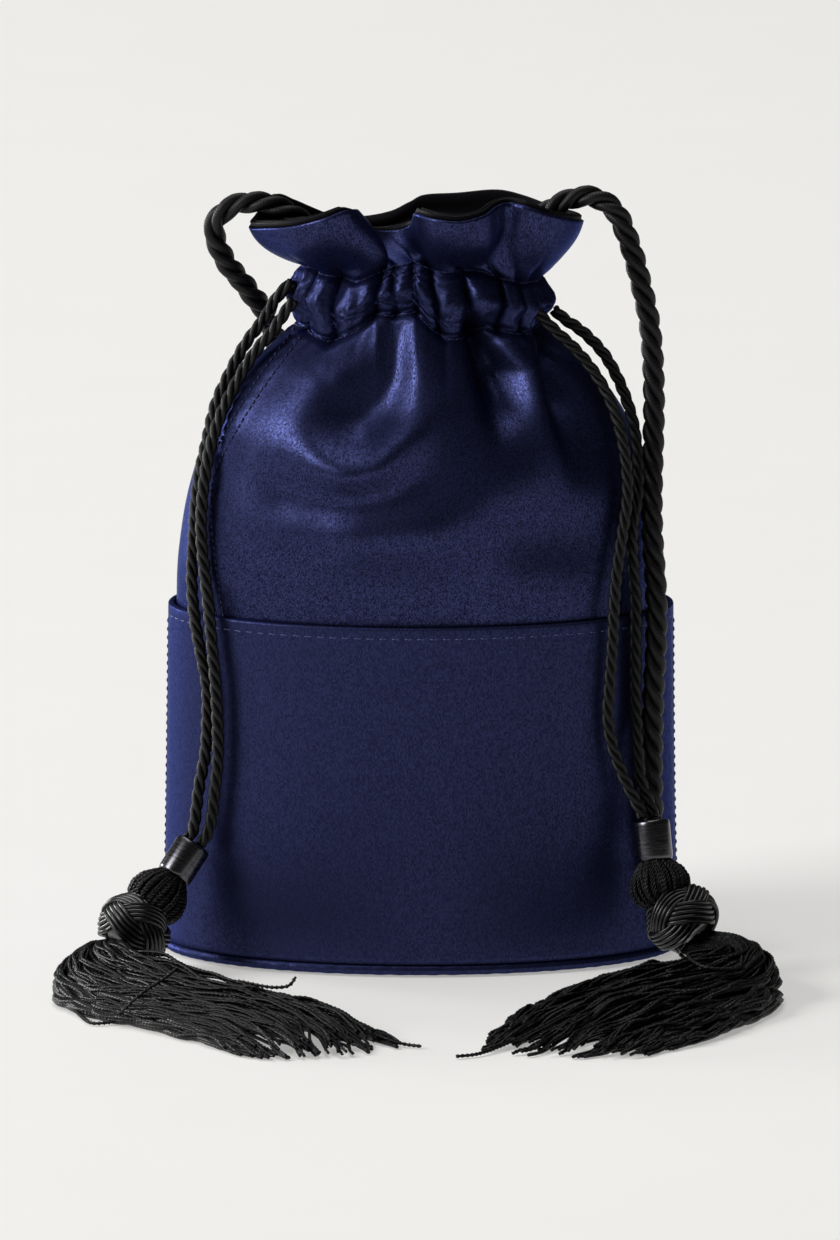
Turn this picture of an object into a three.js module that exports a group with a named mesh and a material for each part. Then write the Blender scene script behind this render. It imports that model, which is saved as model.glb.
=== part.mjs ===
// Satin drawstring bucket bag with a twisted handle cord and two long tassels.
// Millimetres, +Z up. +X is the right of the picture and the front faces -Y.
// The origin is the middle of the floor panel, on the surface that the bag stands on.

import * as THREE from "three";

const TAU = 2 * Math.PI;

// Shared resolution and clearance
const AROUND = 60;            // columns round every oval piece
const GAP = 0.3;              // clearance between pieces that meet
const NEARBY = 0.05;          // step along a table or an angle for finding a direction

// Bucket: stiff oval wall on a piped floor panel
const BUCKET_HALF_WIDTH = 86;
const BUCKET_HALF_DEPTH = 47.5;
const BUCKET_TOP_HALF_WIDTH = 84.2;
const BUCKET_TOP_HALF_DEPTH = 47;
const BUCKET_TOP = 118;
const BUCKET_WALL = 2.2;
const BUCKET_WAIST = 0.3;     // the wall draws in this much at half height
const PIPING_DIAMETER = 3.6;
const PIPING_PROUD = 0.4;     // stands out past the foot of the wall
const PIPING_SIDES = 8;
const PIPING_LIFT = 0.4;      // the floor panel takes the weight, not the piping
const FLOOR_THICKNESS = 3.6;

// Pouch: one shell from its tucked lower edge to the rim of the frill
const POUCH_WALL = 1.0;
const PLEATS = 15;
const POUCH_LAYER = { inset: 0, pleatFloor: 0 };
// pleat: half of the crease depth; fold: share of the shoulder folds; lobe: share of the rim lobes
const POUCH_SECTIONS = [
  { name: "tuck", z: 106, halfWidth: 81.0, halfDepth: 43.9, pleat: 0, fold: 0, lobe: 0 },
  { name: "lip", z: 119, halfWidth: 81.4, halfDepth: 44.2, pleat: 0, fold: 0, lobe: 0 },
  { name: "hip", z: 136, halfWidth: 80.6, halfDepth: 46.4, pleat: 0, fold: 0.1, lobe: 0 },
  { name: "belly", z: 158, halfWidth: 76.8, halfDepth: 46.4, pleat: 0.2, fold: 0.4, lobe: 0 },
  { name: "shoulder", z: 181, halfWidth: 68.5, halfDepth: 41.0, pleat: 0.8, fold: 0.9, lobe: 0 },
  { name: "slope", z: 199, halfWidth: 56.0, halfDepth: 31.5, pleat: 1.4, fold: 1.0, lobe: 0 },
  { name: "lower_row", z: 213, halfWidth: 43.0, halfDepth: 22.0, pleat: 1.9, fold: 0.4, lobe: 0 },
  { name: "casing", z: 223, halfWidth: 45.0, halfDepth: 24.0, pleat: 1.5, fold: 0, lobe: 0 },
  { name: "upper_row", z: 233, halfWidth: 41.5, halfDepth: 21.0, pleat: 1.9, fold: 0, lobe: 0.1 },
  { name: "frill", z: 244, halfWidth: 47.5, halfDepth: 26.0, pleat: 1.0, fold: 0, lobe: 0.6 },
  { name: "rim", z: 253, halfWidth: 53.5, halfDepth: 31.0, pleat: 0.5, fold: 0, lobe: 1 },
];
const ROWS_PER_SECTION = 2;

// Shoulder folds, inward: at = angle at the neck, to = angle where the fold runs out at height low
const FOLDS = [
  { at: -99, to: -111, spread: 9, deep: 8, low: 166 },
  { at: -64, to: -70, spread: 8, deep: 7, low: 174 },
  { at: -36, to: -38, spread: 9, deep: 6, low: 160 },
  { at: -128, to: -160, spread: 9, deep: 4, low: 160 },
  { at: 62, to: 52, spread: 9, deep: 6, low: 165 },
  { at: 98, to: 104, spread: 9, deep: 7, low: 168 },
  { at: 136, to: 148, spread: 9, deep: 5, low: 162 },
];

// Soft dents of the belly, inward; a negative depth is a bulge
const DENTS = [
  { at: -101, z: 165, spread: 18, tall: 9, deep: 3 },
  { at: -114, z: 151, spread: 15, tall: 9, deep: -2 },
  { at: -52, z: 150, spread: 15, tall: 12, deep: 2.5 },
  { at: 80, z: 150, spread: 20, tall: 12, deep: 2.5 },
];

// Lobes of the frill: deep = inward at the rim, rise = upward at the rim
const LOBES = [
  { at: -97, spread: 10, deep: 16, rise: -1.5 },
  { at: -57, spread: 9, deep: 6, rise: 1 },
  { at: -125, spread: 16, deep: -1.5, rise: 2.5 },
  { at: -75, spread: 9, deep: -1.5, rise: 1 },
  { at: 0, spread: 22, deep: 0, rise: -5.5 },
  { at: 180, spread: 22, deep: 0, rise: -5.5 },
  { at: 104, spread: 14, deep: 6, rise: -3 },
  { at: 62, spread: 14, deep: 4, rise: 0.5 },
];

// Lining: a black cup inside the pouch and the bucket
const LINING_WALL = 1.0;
// inset: past the pouch's wall and a gap; pleatFloor: share of the crease depth that it stays inside of
const LINING_LAYER = { inset: 2.2, pleatFloor: 0.75 };
const LINING_EDGE = { z: 254.6, halfWidth: 54.6, halfDepth: 31.9, pleat: 0.5, fold: 0, lobe: 1 };
const LINING_FEET = [
  { z: 4.6, halfWidth: 81.0, halfDepth: 43.6, pleat: 0, fold: 0, lobe: 0 },
  { z: 60, halfWidth: 81.0, halfDepth: 43.6, pleat: 0, fold: 0, lobe: 0 },
];

// Cords
const CORD_DIAMETER = 4.2;
const CORD_SIDES = 8;
const CORD_STEPS = 18;
const HANDLE_DIAMETER = 7.2;
const HANDLE_SIDES = 8;
const HANDLE_STEPS = 60;
const CORD_ROUTES = {
  drawcord_left_outer: [
    [-42.6, -5, 227], [-47.4, -4.8, 222], [-51.7, -4.2, 214.8], [-58.3, -3.5, 205.5],
    [-63.5, -4.5, 196], [-68, -8, 186.5],
    [-71, -13, 175], [-74, -17.5, 161], [-75.3, -20.5, 145], [-76, -22.5, 128.5],
    [-75, -26.5, 117], [-73, -29, 106], [-71, -30.2, 95], [-71, -31, 81], [-71.6, -31.2, 72],
    [-73.6, -31.4, 61.5], [-74.7, -32, 52.5], [-75.6, -33, 47], [-77.2, -34.2, 44.2],
  ],
  drawcord_left_inner: [
    [-42.2, -10.9, 221.8], [-45.2, -11.4, 217.5], [-49.2, -11.6, 211.5], [-54.8, -11, 204.5],
    [-60.5, -12, 195.5],
    [-65.5, -15.5, 186], [-69.5, -19.5, 175], [-72, -23, 161.5], [-72.8, -25.5, 146],
    [-71.3, -28, 129.5], [-70, -31.5, 118], [-69, -33.2, 107], [-68, -34.6, 95.5],
    [-67.4, -35, 82], [-67.4, -35, 70.5], [-68.7, -34.8, 58.5], [-69.6, -34.4, 50.5],
    [-70.9, -34.4, 46], [-73.2, -35.4, 42.2],
  ],
  drawcord_right_outer: [
    [44.2, -5, 219.5], [47.4, -4.6, 217], [53.7, -3.6, 212.5], [61, -3.2, 205],
    [65.4, -4.5, 196.5], [69.2, -8, 186],
    [71.3, -13, 175.5], [72, -21, 160], [70.2, -26.5, 148.5], [70.3, -28, 136],
    [71.3, -28.8, 124], [71.3, -30.3, 108.5], [71.3, -30.6, 92.5], [71.6, -31, 85.5],
    [72, -32.6, 74], [73.2, -34.2, 63], [75.8, -35.5, 56.6], [77.3, -36.5, 52],
  ],
  drawcord_right_inner: [
    [37.7, -10.4, 220.2], [44.6, -11.5, 213.5], [50.6, -11.7, 207.5], [57, -12, 199.5], [62.8, -15.5, 189],
    [66.8, -21, 176], [68.4, -26, 160.5], [66.6, -30.8, 146], [64.8, -33.5, 134],
    [64, -35.2, 122], [63.6, -35.8, 113], [62.6, -36.3, 97], [62, -36.7, 88.5],
    [62.3, -36.9, 82.5], [63.4, -37.2, 76.5], [66, -37.8, 69], [69.3, -38.6, 61.5],
    [72.4, -39, 55.5], [73.8, -39.3, 52.4],
  ],
};
const HANDLE_ROUTE = [
  [31.4, 2, 237.5], [35, 2, 244.5], [41.5, 2, 251], [48, 1.5, 255], [55, 1, 256.8], [61, 0.5, 255.6],
  [65.5, 0, 251], [68, -0.5, 245], [70.5, -1, 237], [73.5, -2, 225], [75.8, -3, 213], [77, -5, 201],
  [77.4, -7, 188], [77.2, -10, 176], [76.8, -14, 165], [76.6, -19, 153], [77, -22, 141],
  [77.8, -23.5, 130], [78.2, -26, 118], [78, -27, 107], [77.4, -27.6, 96], [77, -27.6, 84],
  [76.8, -27.4, 72], [76.8, -27.4, 61], [77.2, -27, 50], [79, -26.2, 38], [82.4, -24.4, 26],
  [87.2, -19.4, 13.5], [90.8, -9.5, 6], [91.2, 4, 4.2], [85.6, 20.6, 4], [70.6, 35.4, 4],
  [50, 46.4, 4], [30, 51.8, 4], [12, 54.2, 4.8], [-2, 53.2, 12], [-10, 52.6, 28], [-16, 52.2, 55],
  [-22, 51.4, 90], [-28, 50, 120], [-33, 49.2, 140], [-38, 47.4, 160], [-43, 40.8, 178],
  [-47, 31.8, 194], [-49.5, 23, 206], [-52.3, 15.5, 214], [-56, 12.5, 219], [-60, 10.5, 225],
  [-63.8, 8.5, 230.5], [-66.5, 7, 236.5], [-67.8, 5.5, 242.5], [-66, 4, 249], [-61, 3, 253.6],
  [-55, 2, 256], [-48, 1.5, 255], [-41.5, 2, 251], [-35, 2, 244.5], [-31.4, 2, 237.5],
];

// Tassels: stations from the ferrule's top face to the foot of the knot
const TASSEL_STATIONS = {
  left: {
    ferrule: { top: [-75.3, -34.8, 42.5], foot: [-82.2, -38.8, 32.3] },
    tassel_head: { top: [-82.6, -39.1, 31.7], foot: [-90.3, -44.2, 22.6] },
    tassel_knot: { top: [-90.8, -44.7, 22], foot: [-99, -52.2, 12] },
  },
  right: {
    ferrule: { top: [76.4, -38.8, 51.4], foot: [77.7, -41.8, 38.4] },
    tassel_head: { top: [78, -42.2, 37.4], foot: [82.7, -46.4, 26] },
    tassel_knot: { top: [83.3, -46.9, 25.1], foot: [92, -52.9, 14.5] },
  },
};
// Turned profiles: share = way along the axis from the top, radius in millimetres
const TASSEL_PROFILES = {
  ferrule: [
    { share: 0, radius: 5.0 }, { share: 0.03, radius: 5.7 }, { share: 0.1, radius: 6.1 },
    { share: 0.9, radius: 6.1 }, { share: 0.97, radius: 5.7 }, { share: 1, radius: 5.0 },
  ],
  tassel_head: [
    { share: 0, radius: 3.0 }, { share: 0.12, radius: 6.2 }, { share: 0.35, radius: 8.8 },
    { share: 0.65, radius: 9.8 }, { share: 0.88, radius: 8.6 }, { share: 1, radius: 3.0 },
  ],
  tassel_knot: [
    { share: 0, radius: 7.4 }, { share: 0.12, radius: 10.2 }, { share: 0.32, radius: 12.4 },
    { share: 0.55, radius: 12.9 }, { share: 0.8, radius: 11.6 }, { share: 1, radius: 8.2 },
  ],
};
const TURNED_SIDES = 20;
// Skirts: centre of each section, its half width on the floor and its half height
const SKIRT_SECTIONS = {
  left: [
    { x: -99.4, y: -52.6, z: 11.5, wide: 6.5, high: 6.5 },
    { x: -103.6, y: -56.6, z: 7.4, wide: 9, high: 7.2 },
    { x: -108, y: -64.5, z: 9, wide: 12.5, high: 8.7 },
    { x: -108.5, y: -76, z: 10.5, wide: 15, high: 10.2 },
    { x: -101.5, y: -93, z: 11.2, wide: 18, high: 10.9 },
    { x: -84.5, y: -111, z: 11, wide: 19.5, high: 10.7 },
    { x: -63, y: -127.5, z: 10.2, wide: 18.5, high: 9.9 },
    { x: -41.5, y: -138, z: 8.2, wide: 16, high: 7.9 },
    { x: -21.5, y: -141.5, z: 5, wide: 11, high: 4.6 },
    { x: -7.5, y: -140, z: 2.6, wide: 5, high: 2.2 },
  ],
  right: [
    { x: 92.4, y: -53.2, z: 14, wide: 6.5, high: 6.5 },
    { x: 97, y: -56.6, z: 8.8, wide: 9, high: 8 },
    { x: 102.5, y: -64.5, z: 9.4, wide: 12, high: 9 },
    { x: 104.5, y: -78, z: 10.5, wide: 15, high: 10.2 },
    { x: 102, y: -96, z: 11, wide: 18, high: 10.7 },
    { x: 91, y: -114, z: 11.2, wide: 20, high: 10.9 },
    { x: 72.5, y: -130.5, z: 11, wide: 20.5, high: 10.7 },
    { x: 51, y: -142.5, z: 9.8, wide: 19, high: 9.5 },
    { x: 29.5, y: -148, z: 6.2, wide: 13, high: 5.9 },
    { x: 12.5, y: -152, z: 2.6, wide: 5, high: 2.2 },
  ],
};
const SKIRT_LIFT = 0.3;       // the bundle lies this far above the floor panel's plane
const SKIRT_ROWS = 18;
const SKIRT_SIDES = 12;

const SATIN = new THREE.MeshStandardMaterial({ color: 0x23284a, roughness: 0.4, metalness: 0 });
const LINING_CLOTH = new THREE.MeshStandardMaterial({ color: 0x0c0c0e, roughness: 0.8, metalness: 0 });
const CORD_THREAD = new THREE.MeshStandardMaterial({ color: 0x141416, roughness: 0.55, metalness: 0 });
const GUNMETAL = new THREE.MeshStandardMaterial({ color: 0x3a393c, roughness: 0.35, metalness: 1 });

// Cubic through a table's rows; t runs from 0 at the first row to rows - 1 at the last
function column(table, name, t) {
  const last = table.length - 1;
  const i = Math.min(Math.floor(t), last - 1);
  const f = t - i;
  const at = (k) => table[Math.min(Math.max(k, 0), last)][name];
  const [a, b, c, d] = [at(i - 1), at(i), at(i + 1), at(i + 2)];
  const rise = 0.5 * (c - a);
  const fall = 0.5 * (d - b);
  const turn = 3 * (c - b) - 2 * rise - fall;
  const bend = 2 * (b - c) + rise + fall;
  return b + f * (rise + f * (turn + f * bend));
}

// A bell over the angle between u (radians) and a table's angle (degrees)
function bell(u, degrees, spread) {
  const away = u - THREE.MathUtils.degToRad(degrees);
  const wrapped = Math.atan2(Math.sin(away), Math.cos(away));
  return Math.exp(-((wrapped / THREE.MathUtils.degToRad(spread)) ** 2));
}

// Inward depth of the shoulder folds and soft dents at angle u and height z
function creases(u, z, share) {
  const neck = POUCH_SECTIONS.find((row) => row.name === "lower_row").z;
  let inward = 0;
  for (const fold of FOLDS) {
    const up = THREE.MathUtils.clamp((z - fold.low) / (neck - fold.low), 0, 1);
    const angle = THREE.MathUtils.lerp(fold.to, fold.at, up);
    inward += fold.deep * share * THREE.MathUtils.smoothstep(up, 0, 0.5) * bell(u, angle, fold.spread);
  }
  for (const dent of DENTS) {
    inward += dent.deep * bell(u, dent.at, dent.spread) * Math.exp(-(((z - dent.z) / dent.tall) ** 2));
  }
  return inward;
}

// Point of the cloth at angle u and table place t; layer sets how far inside it lies
function clothPoint(table, u, t, layer) {
  const halfWidth = column(table, "halfWidth", t);
  const halfDepth = column(table, "halfDepth", t);
  const lobe = column(table, "lobe", t);
  const pleat = Math.max(0, column(table, "pleat", t));
  const z = column(table, "z", t);
  const crease = 0.5 + 0.5 * Math.cos(PLEATS * u);
  let inward = layer.inset + 2 * pleat * (layer.pleatFloor + (1 - layer.pleatFloor) * crease);
  inward += creases(u, z, column(table, "fold", t));
  let rise = 0;
  for (const row of LOBES) {
    inward += row.deep * lobe * bell(u, row.at, row.spread);
    rise += row.rise * lobe * bell(u, row.at, row.spread);
  }
  const out = new THREE.Vector2(Math.cos(u) / halfWidth, Math.sin(u) / halfDepth).normalize();
  return new THREE.Vector3(
    halfWidth * Math.cos(u) - inward * out.x,
    halfDepth * Math.sin(u) - inward * out.y,
    z + rise,
  );
}

// The cloth point moved inward along the surface normal
function clothInside(table, u, t, layer, depth) {
  const last = table.length - 1;
  const low = clothPoint(table, u, Math.max(t - NEARBY, 0), layer);
  const high = clothPoint(table, u, Math.min(t + NEARBY, last), layer);
  const left = clothPoint(table, u + NEARBY, t, layer);
  const right = clothPoint(table, u - NEARBY, t, layer);
  const normal = left.sub(right).cross(high.sub(low)).normalize();
  return clothPoint(table, u, t, layer).addScaledVector(normal, -depth);
}

// Geometry from points and triangles
function solid(points, triangles) {
  const geometry = new THREE.BufferGeometry();
  const flat = points.flatMap((p) => [p.x, p.y, p.z]);
  geometry.setAttribute("position", new THREE.Float32BufferAttribute(flat, 3));
  geometry.setIndex(triangles.flat());
  geometry.computeVertexNormals();
  return geometry;
}

// Two triangles for each cell between ring a and ring b, which run the same way round
function band(triangles, a, b, count) {
  for (let i = 0; i < count; i += 1) {
    const j = (i + 1) % count;
    triangles.push([a + i, a + j, b + j], [a + i, b + j, b + i]);
  }
}

// A fan that closes a ring; it faces along +Z when the ring runs anticlockwise
function fan(triangles, ring, centre, count) {
  for (let i = 0; i < count; i += 1) {
    triangles.push([ring + i, ring + ((i + 1) % count), centre]);
  }
}

// Rings of an oval wall: up the outside, over the edge and down the inside
function shell(outer, inner, cup) {
  const rings = [...outer, ...[...inner].reverse()];
  const points = rings.flat();
  const triangles = [];
  for (let k = 0; k + 1 < rings.length; k += 1) {
    band(triangles, k * AROUND, (k + 1) * AROUND, AROUND);
  }
  const last = (rings.length - 1) * AROUND;
  if (!cup) {
    band(triangles, last, 0, AROUND);
    return solid(points, triangles);
  }
  points.push(new THREE.Vector3(0, 0, outer[0][0].z), new THREE.Vector3(0, 0, inner[0][0].z));
  fan(triangles, last, points.length - 1, AROUND);
  const under = [];
  fan(under, 0, points.length - 2, AROUND);
  triangles.push(...under.map(([a, b, c]) => [b, a, c]));
  return solid(points, triangles);
}

// One ring of points round an oval
function ring(make) {
  return Array.from({ length: AROUND }, (_, i) => make((i * TAU) / AROUND));
}

function oval(halfWidth, halfDepth, z) {
  return ring((u) => new THREE.Vector3(halfWidth * Math.cos(u), halfDepth * Math.sin(u), z));
}

function bucketWall() {
  const foot = PIPING_LIFT + PIPING_DIAMETER + GAP;
  const halfway = 0.5 * (foot + BUCKET_TOP);
  const midWidth = 0.5 * (BUCKET_HALF_WIDTH + BUCKET_TOP_HALF_WIDTH) - BUCKET_WAIST;
  const midDepth = 0.5 * (BUCKET_HALF_DEPTH + BUCKET_TOP_HALF_DEPTH);
  const stations = [
    [BUCKET_HALF_WIDTH, BUCKET_HALF_DEPTH, foot],
    [midWidth, midDepth, halfway],
    [BUCKET_TOP_HALF_WIDTH, BUCKET_TOP_HALF_DEPTH, BUCKET_TOP],
  ];
  const outer = stations.map(([w, d, z]) => oval(w, d, z));
  const inner = stations.map(([w, d, z]) => oval(w - BUCKET_WALL, d - BUCKET_WALL, z));
  return shell(outer, inner, false);
}

function bucketFloor() {
  const inset = PIPING_DIAMETER + GAP - PIPING_PROUD;
  const width = BUCKET_HALF_WIDTH - inset;
  const depth = BUCKET_HALF_DEPTH - inset;
  const lower = oval(width, depth, 0);
  const upper = oval(width, depth, FLOOR_THICKNESS);
  const points = [...lower, ...upper, new THREE.Vector3(0, 0, 0), new THREE.Vector3(0, 0, FLOOR_THICKNESS)];
  const triangles = [];
  band(triangles, 0, AROUND, AROUND);
  fan(triangles, AROUND, 2 * AROUND + 1, AROUND);
  const under = [];
  fan(under, 0, 2 * AROUND, AROUND);
  triangles.push(...under.map(([a, b, c]) => [b, a, c]));
  return solid(points, triangles);
}

function bucketPiping() {
  const radius = PIPING_DIAMETER / 2;
  const width = BUCKET_HALF_WIDTH + PIPING_PROUD - radius;
  const depth = BUCKET_HALF_DEPTH + PIPING_PROUD - radius;
  const height = PIPING_LIFT + radius;
  const rings = Array.from({ length: PIPING_SIDES }, (_, k) => {
    const turn = (k * TAU) / PIPING_SIDES;
    const out = radius * Math.cos(turn);
    return oval(width + out, depth + out, height + radius * Math.sin(turn));
  });
  const triangles = [];
  for (let k = 0; k < PIPING_SIDES; k += 1) {
    band(triangles, k * AROUND, ((k + 1) % PIPING_SIDES) * AROUND, AROUND);
  }
  return solid(rings.flat(), triangles);
}

function pouch() {
  const rows = (POUCH_SECTIONS.length - 1) * ROWS_PER_SECTION;
  const places = Array.from({ length: rows + 1 }, (_, k) => k / ROWS_PER_SECTION);
  const outer = places.map((t) => ring((u) => clothPoint(POUCH_SECTIONS, u, t, POUCH_LAYER)));
  const inner = places.map((t) => ring((u) => clothInside(POUCH_SECTIONS, u, t, POUCH_LAYER, POUCH_WALL)));
  return shell(outer, inner, false);
}

function lining() {
  const table = [...LINING_FEET, ...POUCH_SECTIONS, LINING_EDGE];
  const last = table.length - 1;
  const places = [0];
  for (let t = LINING_FEET.length + 1; t <= last; t += t < LINING_FEET.length + 4 ? 1 : 0.5) {
    places.push(t);
  }
  const outer = places.map((t) => ring((u) => clothPoint(table, u, t, LINING_LAYER)));
  const inner = places.map((t) => ring((u) => clothInside(table, u, t, LINING_LAYER, LINING_WALL)));
  inner[0].forEach((p) => {
    p.z += LINING_WALL;
  });
  return shell(outer, inner, true);
}

// A round tube along a list of points
function tube(route, diameter, sides, steps) {
  const path = new THREE.CatmullRomCurve3(route.map((p) => new THREE.Vector3(...p)), false, "centripetal");
  const shape = new THREE.Shape(
    Array.from({ length: sides }, (_, k) => {
      const turn = (k * TAU) / sides;
      return new THREE.Vector2((diameter / 2) * Math.cos(turn), (diameter / 2) * Math.sin(turn));
    }),
  );
  return new THREE.ExtrudeGeometry(shape, { steps, bevelEnabled: false, extrudePath: path });
}

// A turned solid between two stations
function turned(profile, station) {
  const top = new THREE.Vector3(...station.top);
  const foot = new THREE.Vector3(...station.foot);
  const length = top.distanceTo(foot);
  const outline = profile.map((row) => new THREE.Vector2(row.radius, row.share * length));
  const points = [new THREE.Vector2(0, 0), ...outline, new THREE.Vector2(0, length)];
  const mesh = new THREE.Mesh(new THREE.LatheGeometry(points, TURNED_SIDES));
  const axis = foot.sub(top).normalize();
  mesh.position.copy(top);
  mesh.quaternion.setFromUnitVectors(new THREE.Vector3(0, 1, 0), axis);
  return mesh;
}

// A bundle lofted through oval sections that stand square to its way
function bundle(table) {
  const last = table.length - 1;
  const place = (t) => new THREE.Vector3(column(table, "x", t), column(table, "y", t), column(table, "z", t));
  const rings = Array.from({ length: SKIRT_ROWS + 1 }, (_, k) => {
    const t = (k * last) / SKIRT_ROWS;
    const ahead = place(Math.min(t + NEARBY, last)).sub(place(Math.max(t - NEARBY, 0)));
    const side = new THREE.Vector3(ahead.y, -ahead.x, 0).normalize();
    const up = side.clone().cross(ahead).normalize();
    const wide = column(table, "wide", t);
    const high = column(table, "high", t);
    return Array.from({ length: SKIRT_SIDES }, (_, i) => {
      const turn = (i * TAU) / SKIRT_SIDES;
      const point = place(t).addScaledVector(side, wide * Math.cos(turn));
      point.addScaledVector(up, high * Math.sin(turn));
      point.z = Math.max(point.z, SKIRT_LIFT);
      return point;
    });
  });
  const points = [...rings.flat(), place(0), place(last)];
  const triangles = [];
  for (let k = 0; k < SKIRT_ROWS; k += 1) {
    band(triangles, (k + 1) * SKIRT_SIDES, k * SKIRT_SIDES, SKIRT_SIDES);
  }
  fan(triangles, 0, points.length - 2, SKIRT_SIDES);
  const tip = [];
  fan(tip, SKIRT_ROWS * SKIRT_SIDES, points.length - 1, SKIRT_SIDES);
  triangles.push(...tip.map(([a, b, c]) => [b, a, c]));
  return solid(points, triangles);
}

const group = new THREE.Group();

function add(name, mesh, material) {
  mesh.name = name;
  mesh.material = material;
  group.add(mesh);
}

add("bucket_wall", new THREE.Mesh(bucketWall()), SATIN);
add("bucket_floor", new THREE.Mesh(bucketFloor()), SATIN);
add("bucket_piping", new THREE.Mesh(bucketPiping()), SATIN);
add("pouch", new THREE.Mesh(pouch()), SATIN);
add("lining", new THREE.Mesh(lining()), LINING_CLOTH);
for (const [name, route] of Object.entries(CORD_ROUTES)) {
  add(name, new THREE.Mesh(tube(route, CORD_DIAMETER, CORD_SIDES, CORD_STEPS)), CORD_THREAD);
}
add("handle", new THREE.Mesh(tube(HANDLE_ROUTE, HANDLE_DIAMETER, HANDLE_SIDES, HANDLE_STEPS)), CORD_THREAD);
for (const side of ["left", "right"]) {
  for (const [piece, station] of Object.entries(TASSEL_STATIONS[side])) {
    const material = piece === "ferrule" ? GUNMETAL : CORD_THREAD;
    add(`${piece}_${side}`, turned(TASSEL_PROFILES[piece], station), material);
  }
  add(`tassel_skirt_${side}`, new THREE.Mesh(bundle(SKIRT_SECTIONS[side])), CORD_THREAD);
}

export default group;
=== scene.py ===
"""Satin drawstring bucket bag with twisted cords and long thread tassels.

A stiff oval satin bucket carries a soft satin pouch, gathered in a stitched casing under a lined frill.
Lengths are millimetres until a mesh is made, +Z is up and the bag faces -Y.
"""

import logging
from dataclasses import dataclass
from enum import Enum

import bpy
import numpy as np
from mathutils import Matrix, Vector


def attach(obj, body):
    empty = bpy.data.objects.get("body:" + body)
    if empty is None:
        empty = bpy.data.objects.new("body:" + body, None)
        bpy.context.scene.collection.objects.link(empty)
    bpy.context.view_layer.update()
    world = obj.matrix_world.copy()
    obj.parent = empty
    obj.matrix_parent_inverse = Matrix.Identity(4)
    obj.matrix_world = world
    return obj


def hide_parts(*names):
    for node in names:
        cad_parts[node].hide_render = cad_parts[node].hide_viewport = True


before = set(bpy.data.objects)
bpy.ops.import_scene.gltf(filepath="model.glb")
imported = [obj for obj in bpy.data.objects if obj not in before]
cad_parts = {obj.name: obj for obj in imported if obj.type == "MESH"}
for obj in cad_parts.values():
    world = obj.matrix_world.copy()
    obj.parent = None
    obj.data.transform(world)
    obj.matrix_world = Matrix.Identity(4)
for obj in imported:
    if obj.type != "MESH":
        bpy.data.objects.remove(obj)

Material = bpy.types.Material
Node = bpy.types.Node
Object = bpy.types.Object
Socket = bpy.types.NodeSocket
Tree = bpy.types.NodeTree
Array = np.ndarray
Point = tuple[float, float, float]

MM = 0.001
UP = np.array([0.0, 0.0, 1.0])
CLOTH_UV = "cloth_mm"
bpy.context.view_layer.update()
log = logging.getLogger("satin_bag")


class Slot(Enum):
    """Material slots of the record, one of which is passed to each piece."""

    SATIN_BUCKET = "satin_bucket"
    SATIN_POUCH = "satin_pouch"
    LINING = "lining_cloth"
    CORD = "cord_thread"
    FERRULE = "ferrule_metal"
    TASSEL = "tassel_thread"
    KNOT = "knot_cord"


class Lay(Enum):
    """Direction in which the strands of a rope wind round it."""

    S = -1
    Z = 1


def linear(hex_colour: str) -> tuple[float, float, float, float]:
    """Turns an sRGB hex colour to linear RGBA by the sRGB transfer curve.

    Args:
        hex_colour: colour such as "#1a2b3c".

    Returns:
        Linear red, green and blue from 0 to 1, and an alpha of 1.
    """
    srgb = np.array([int(hex_colour[i : i + 2], 16) for i in (1, 3, 5)]) / 255.0
    curved = ((srgb + 0.055) / 1.055) ** 2.4
    red, green, blue = np.where(srgb <= 0.04045, srgb / 12.92, curved).tolist()
    return red, green, blue, 1.0


def add_node(tree: Tree, kind: str, settings: dict | None = None, links: dict | None = None) -> Node:
    """Adds a node with its settings and links.

    Args:
        tree: node tree that gets the node.
        kind: type name of the node.
        settings: values by property name, or by input name or number.
        links: output sockets of other nodes by input name or number.

    Returns:
        The new node.
    """
    node = tree.nodes.new(kind)
    for name, value in (settings or {}).items():
        if isinstance(name, str) and hasattr(node, name):
            setattr(node, name, value)
        else:
            node.inputs[name].default_value = value
    for name, source in (links or {}).items():
        tree.links.new(source, node.inputs[name])
    return node


def new_material(name: str) -> tuple[Material, Tree, Node]:
    """Makes an empty node material with one Principled shader.

    Args:
        name: name of the material.

    Returns:
        The material, its node tree and its shader.
    """
    material = bpy.data.materials.new(name)
    material.use_nodes = True
    tree = material.node_tree
    tree.nodes.clear()
    shader = add_node(tree, "ShaderNodeBsdfPrincipled")
    add_node(tree, "ShaderNodeOutputMaterial", links={"Surface": shader.outputs["BSDF"]})
    return material, tree, shader


def two_stops(tree: Tree, tone: Socket, low: tuple[float, str], high: tuple[float, str]) -> Socket:
    """Turns a tone into a colour between two stops.

    Args:
        tree: node tree that gets the node.
        tone: tone from 0 to 1.
        low: place and sRGB hex colour of the lower stop.
        high: place and sRGB hex colour of the upper stop.

    Returns:
        The colour.
    """
    node = add_node(tree, "ShaderNodeValToRGB", links={"Fac": tone})
    for stop, (place, colour) in zip(node.color_ramp.elements, (low, high)):
        stop.position = place
        stop.color = linear(colour)
    return node.outputs["Color"]


def cloth_place(tree: Tree) -> Socket:
    """Adds the place on the cloth, in millimetres."""
    return add_node(tree, "ShaderNodeUVMap", {"uv_map": CLOTH_UV}).outputs["UV"]


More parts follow.
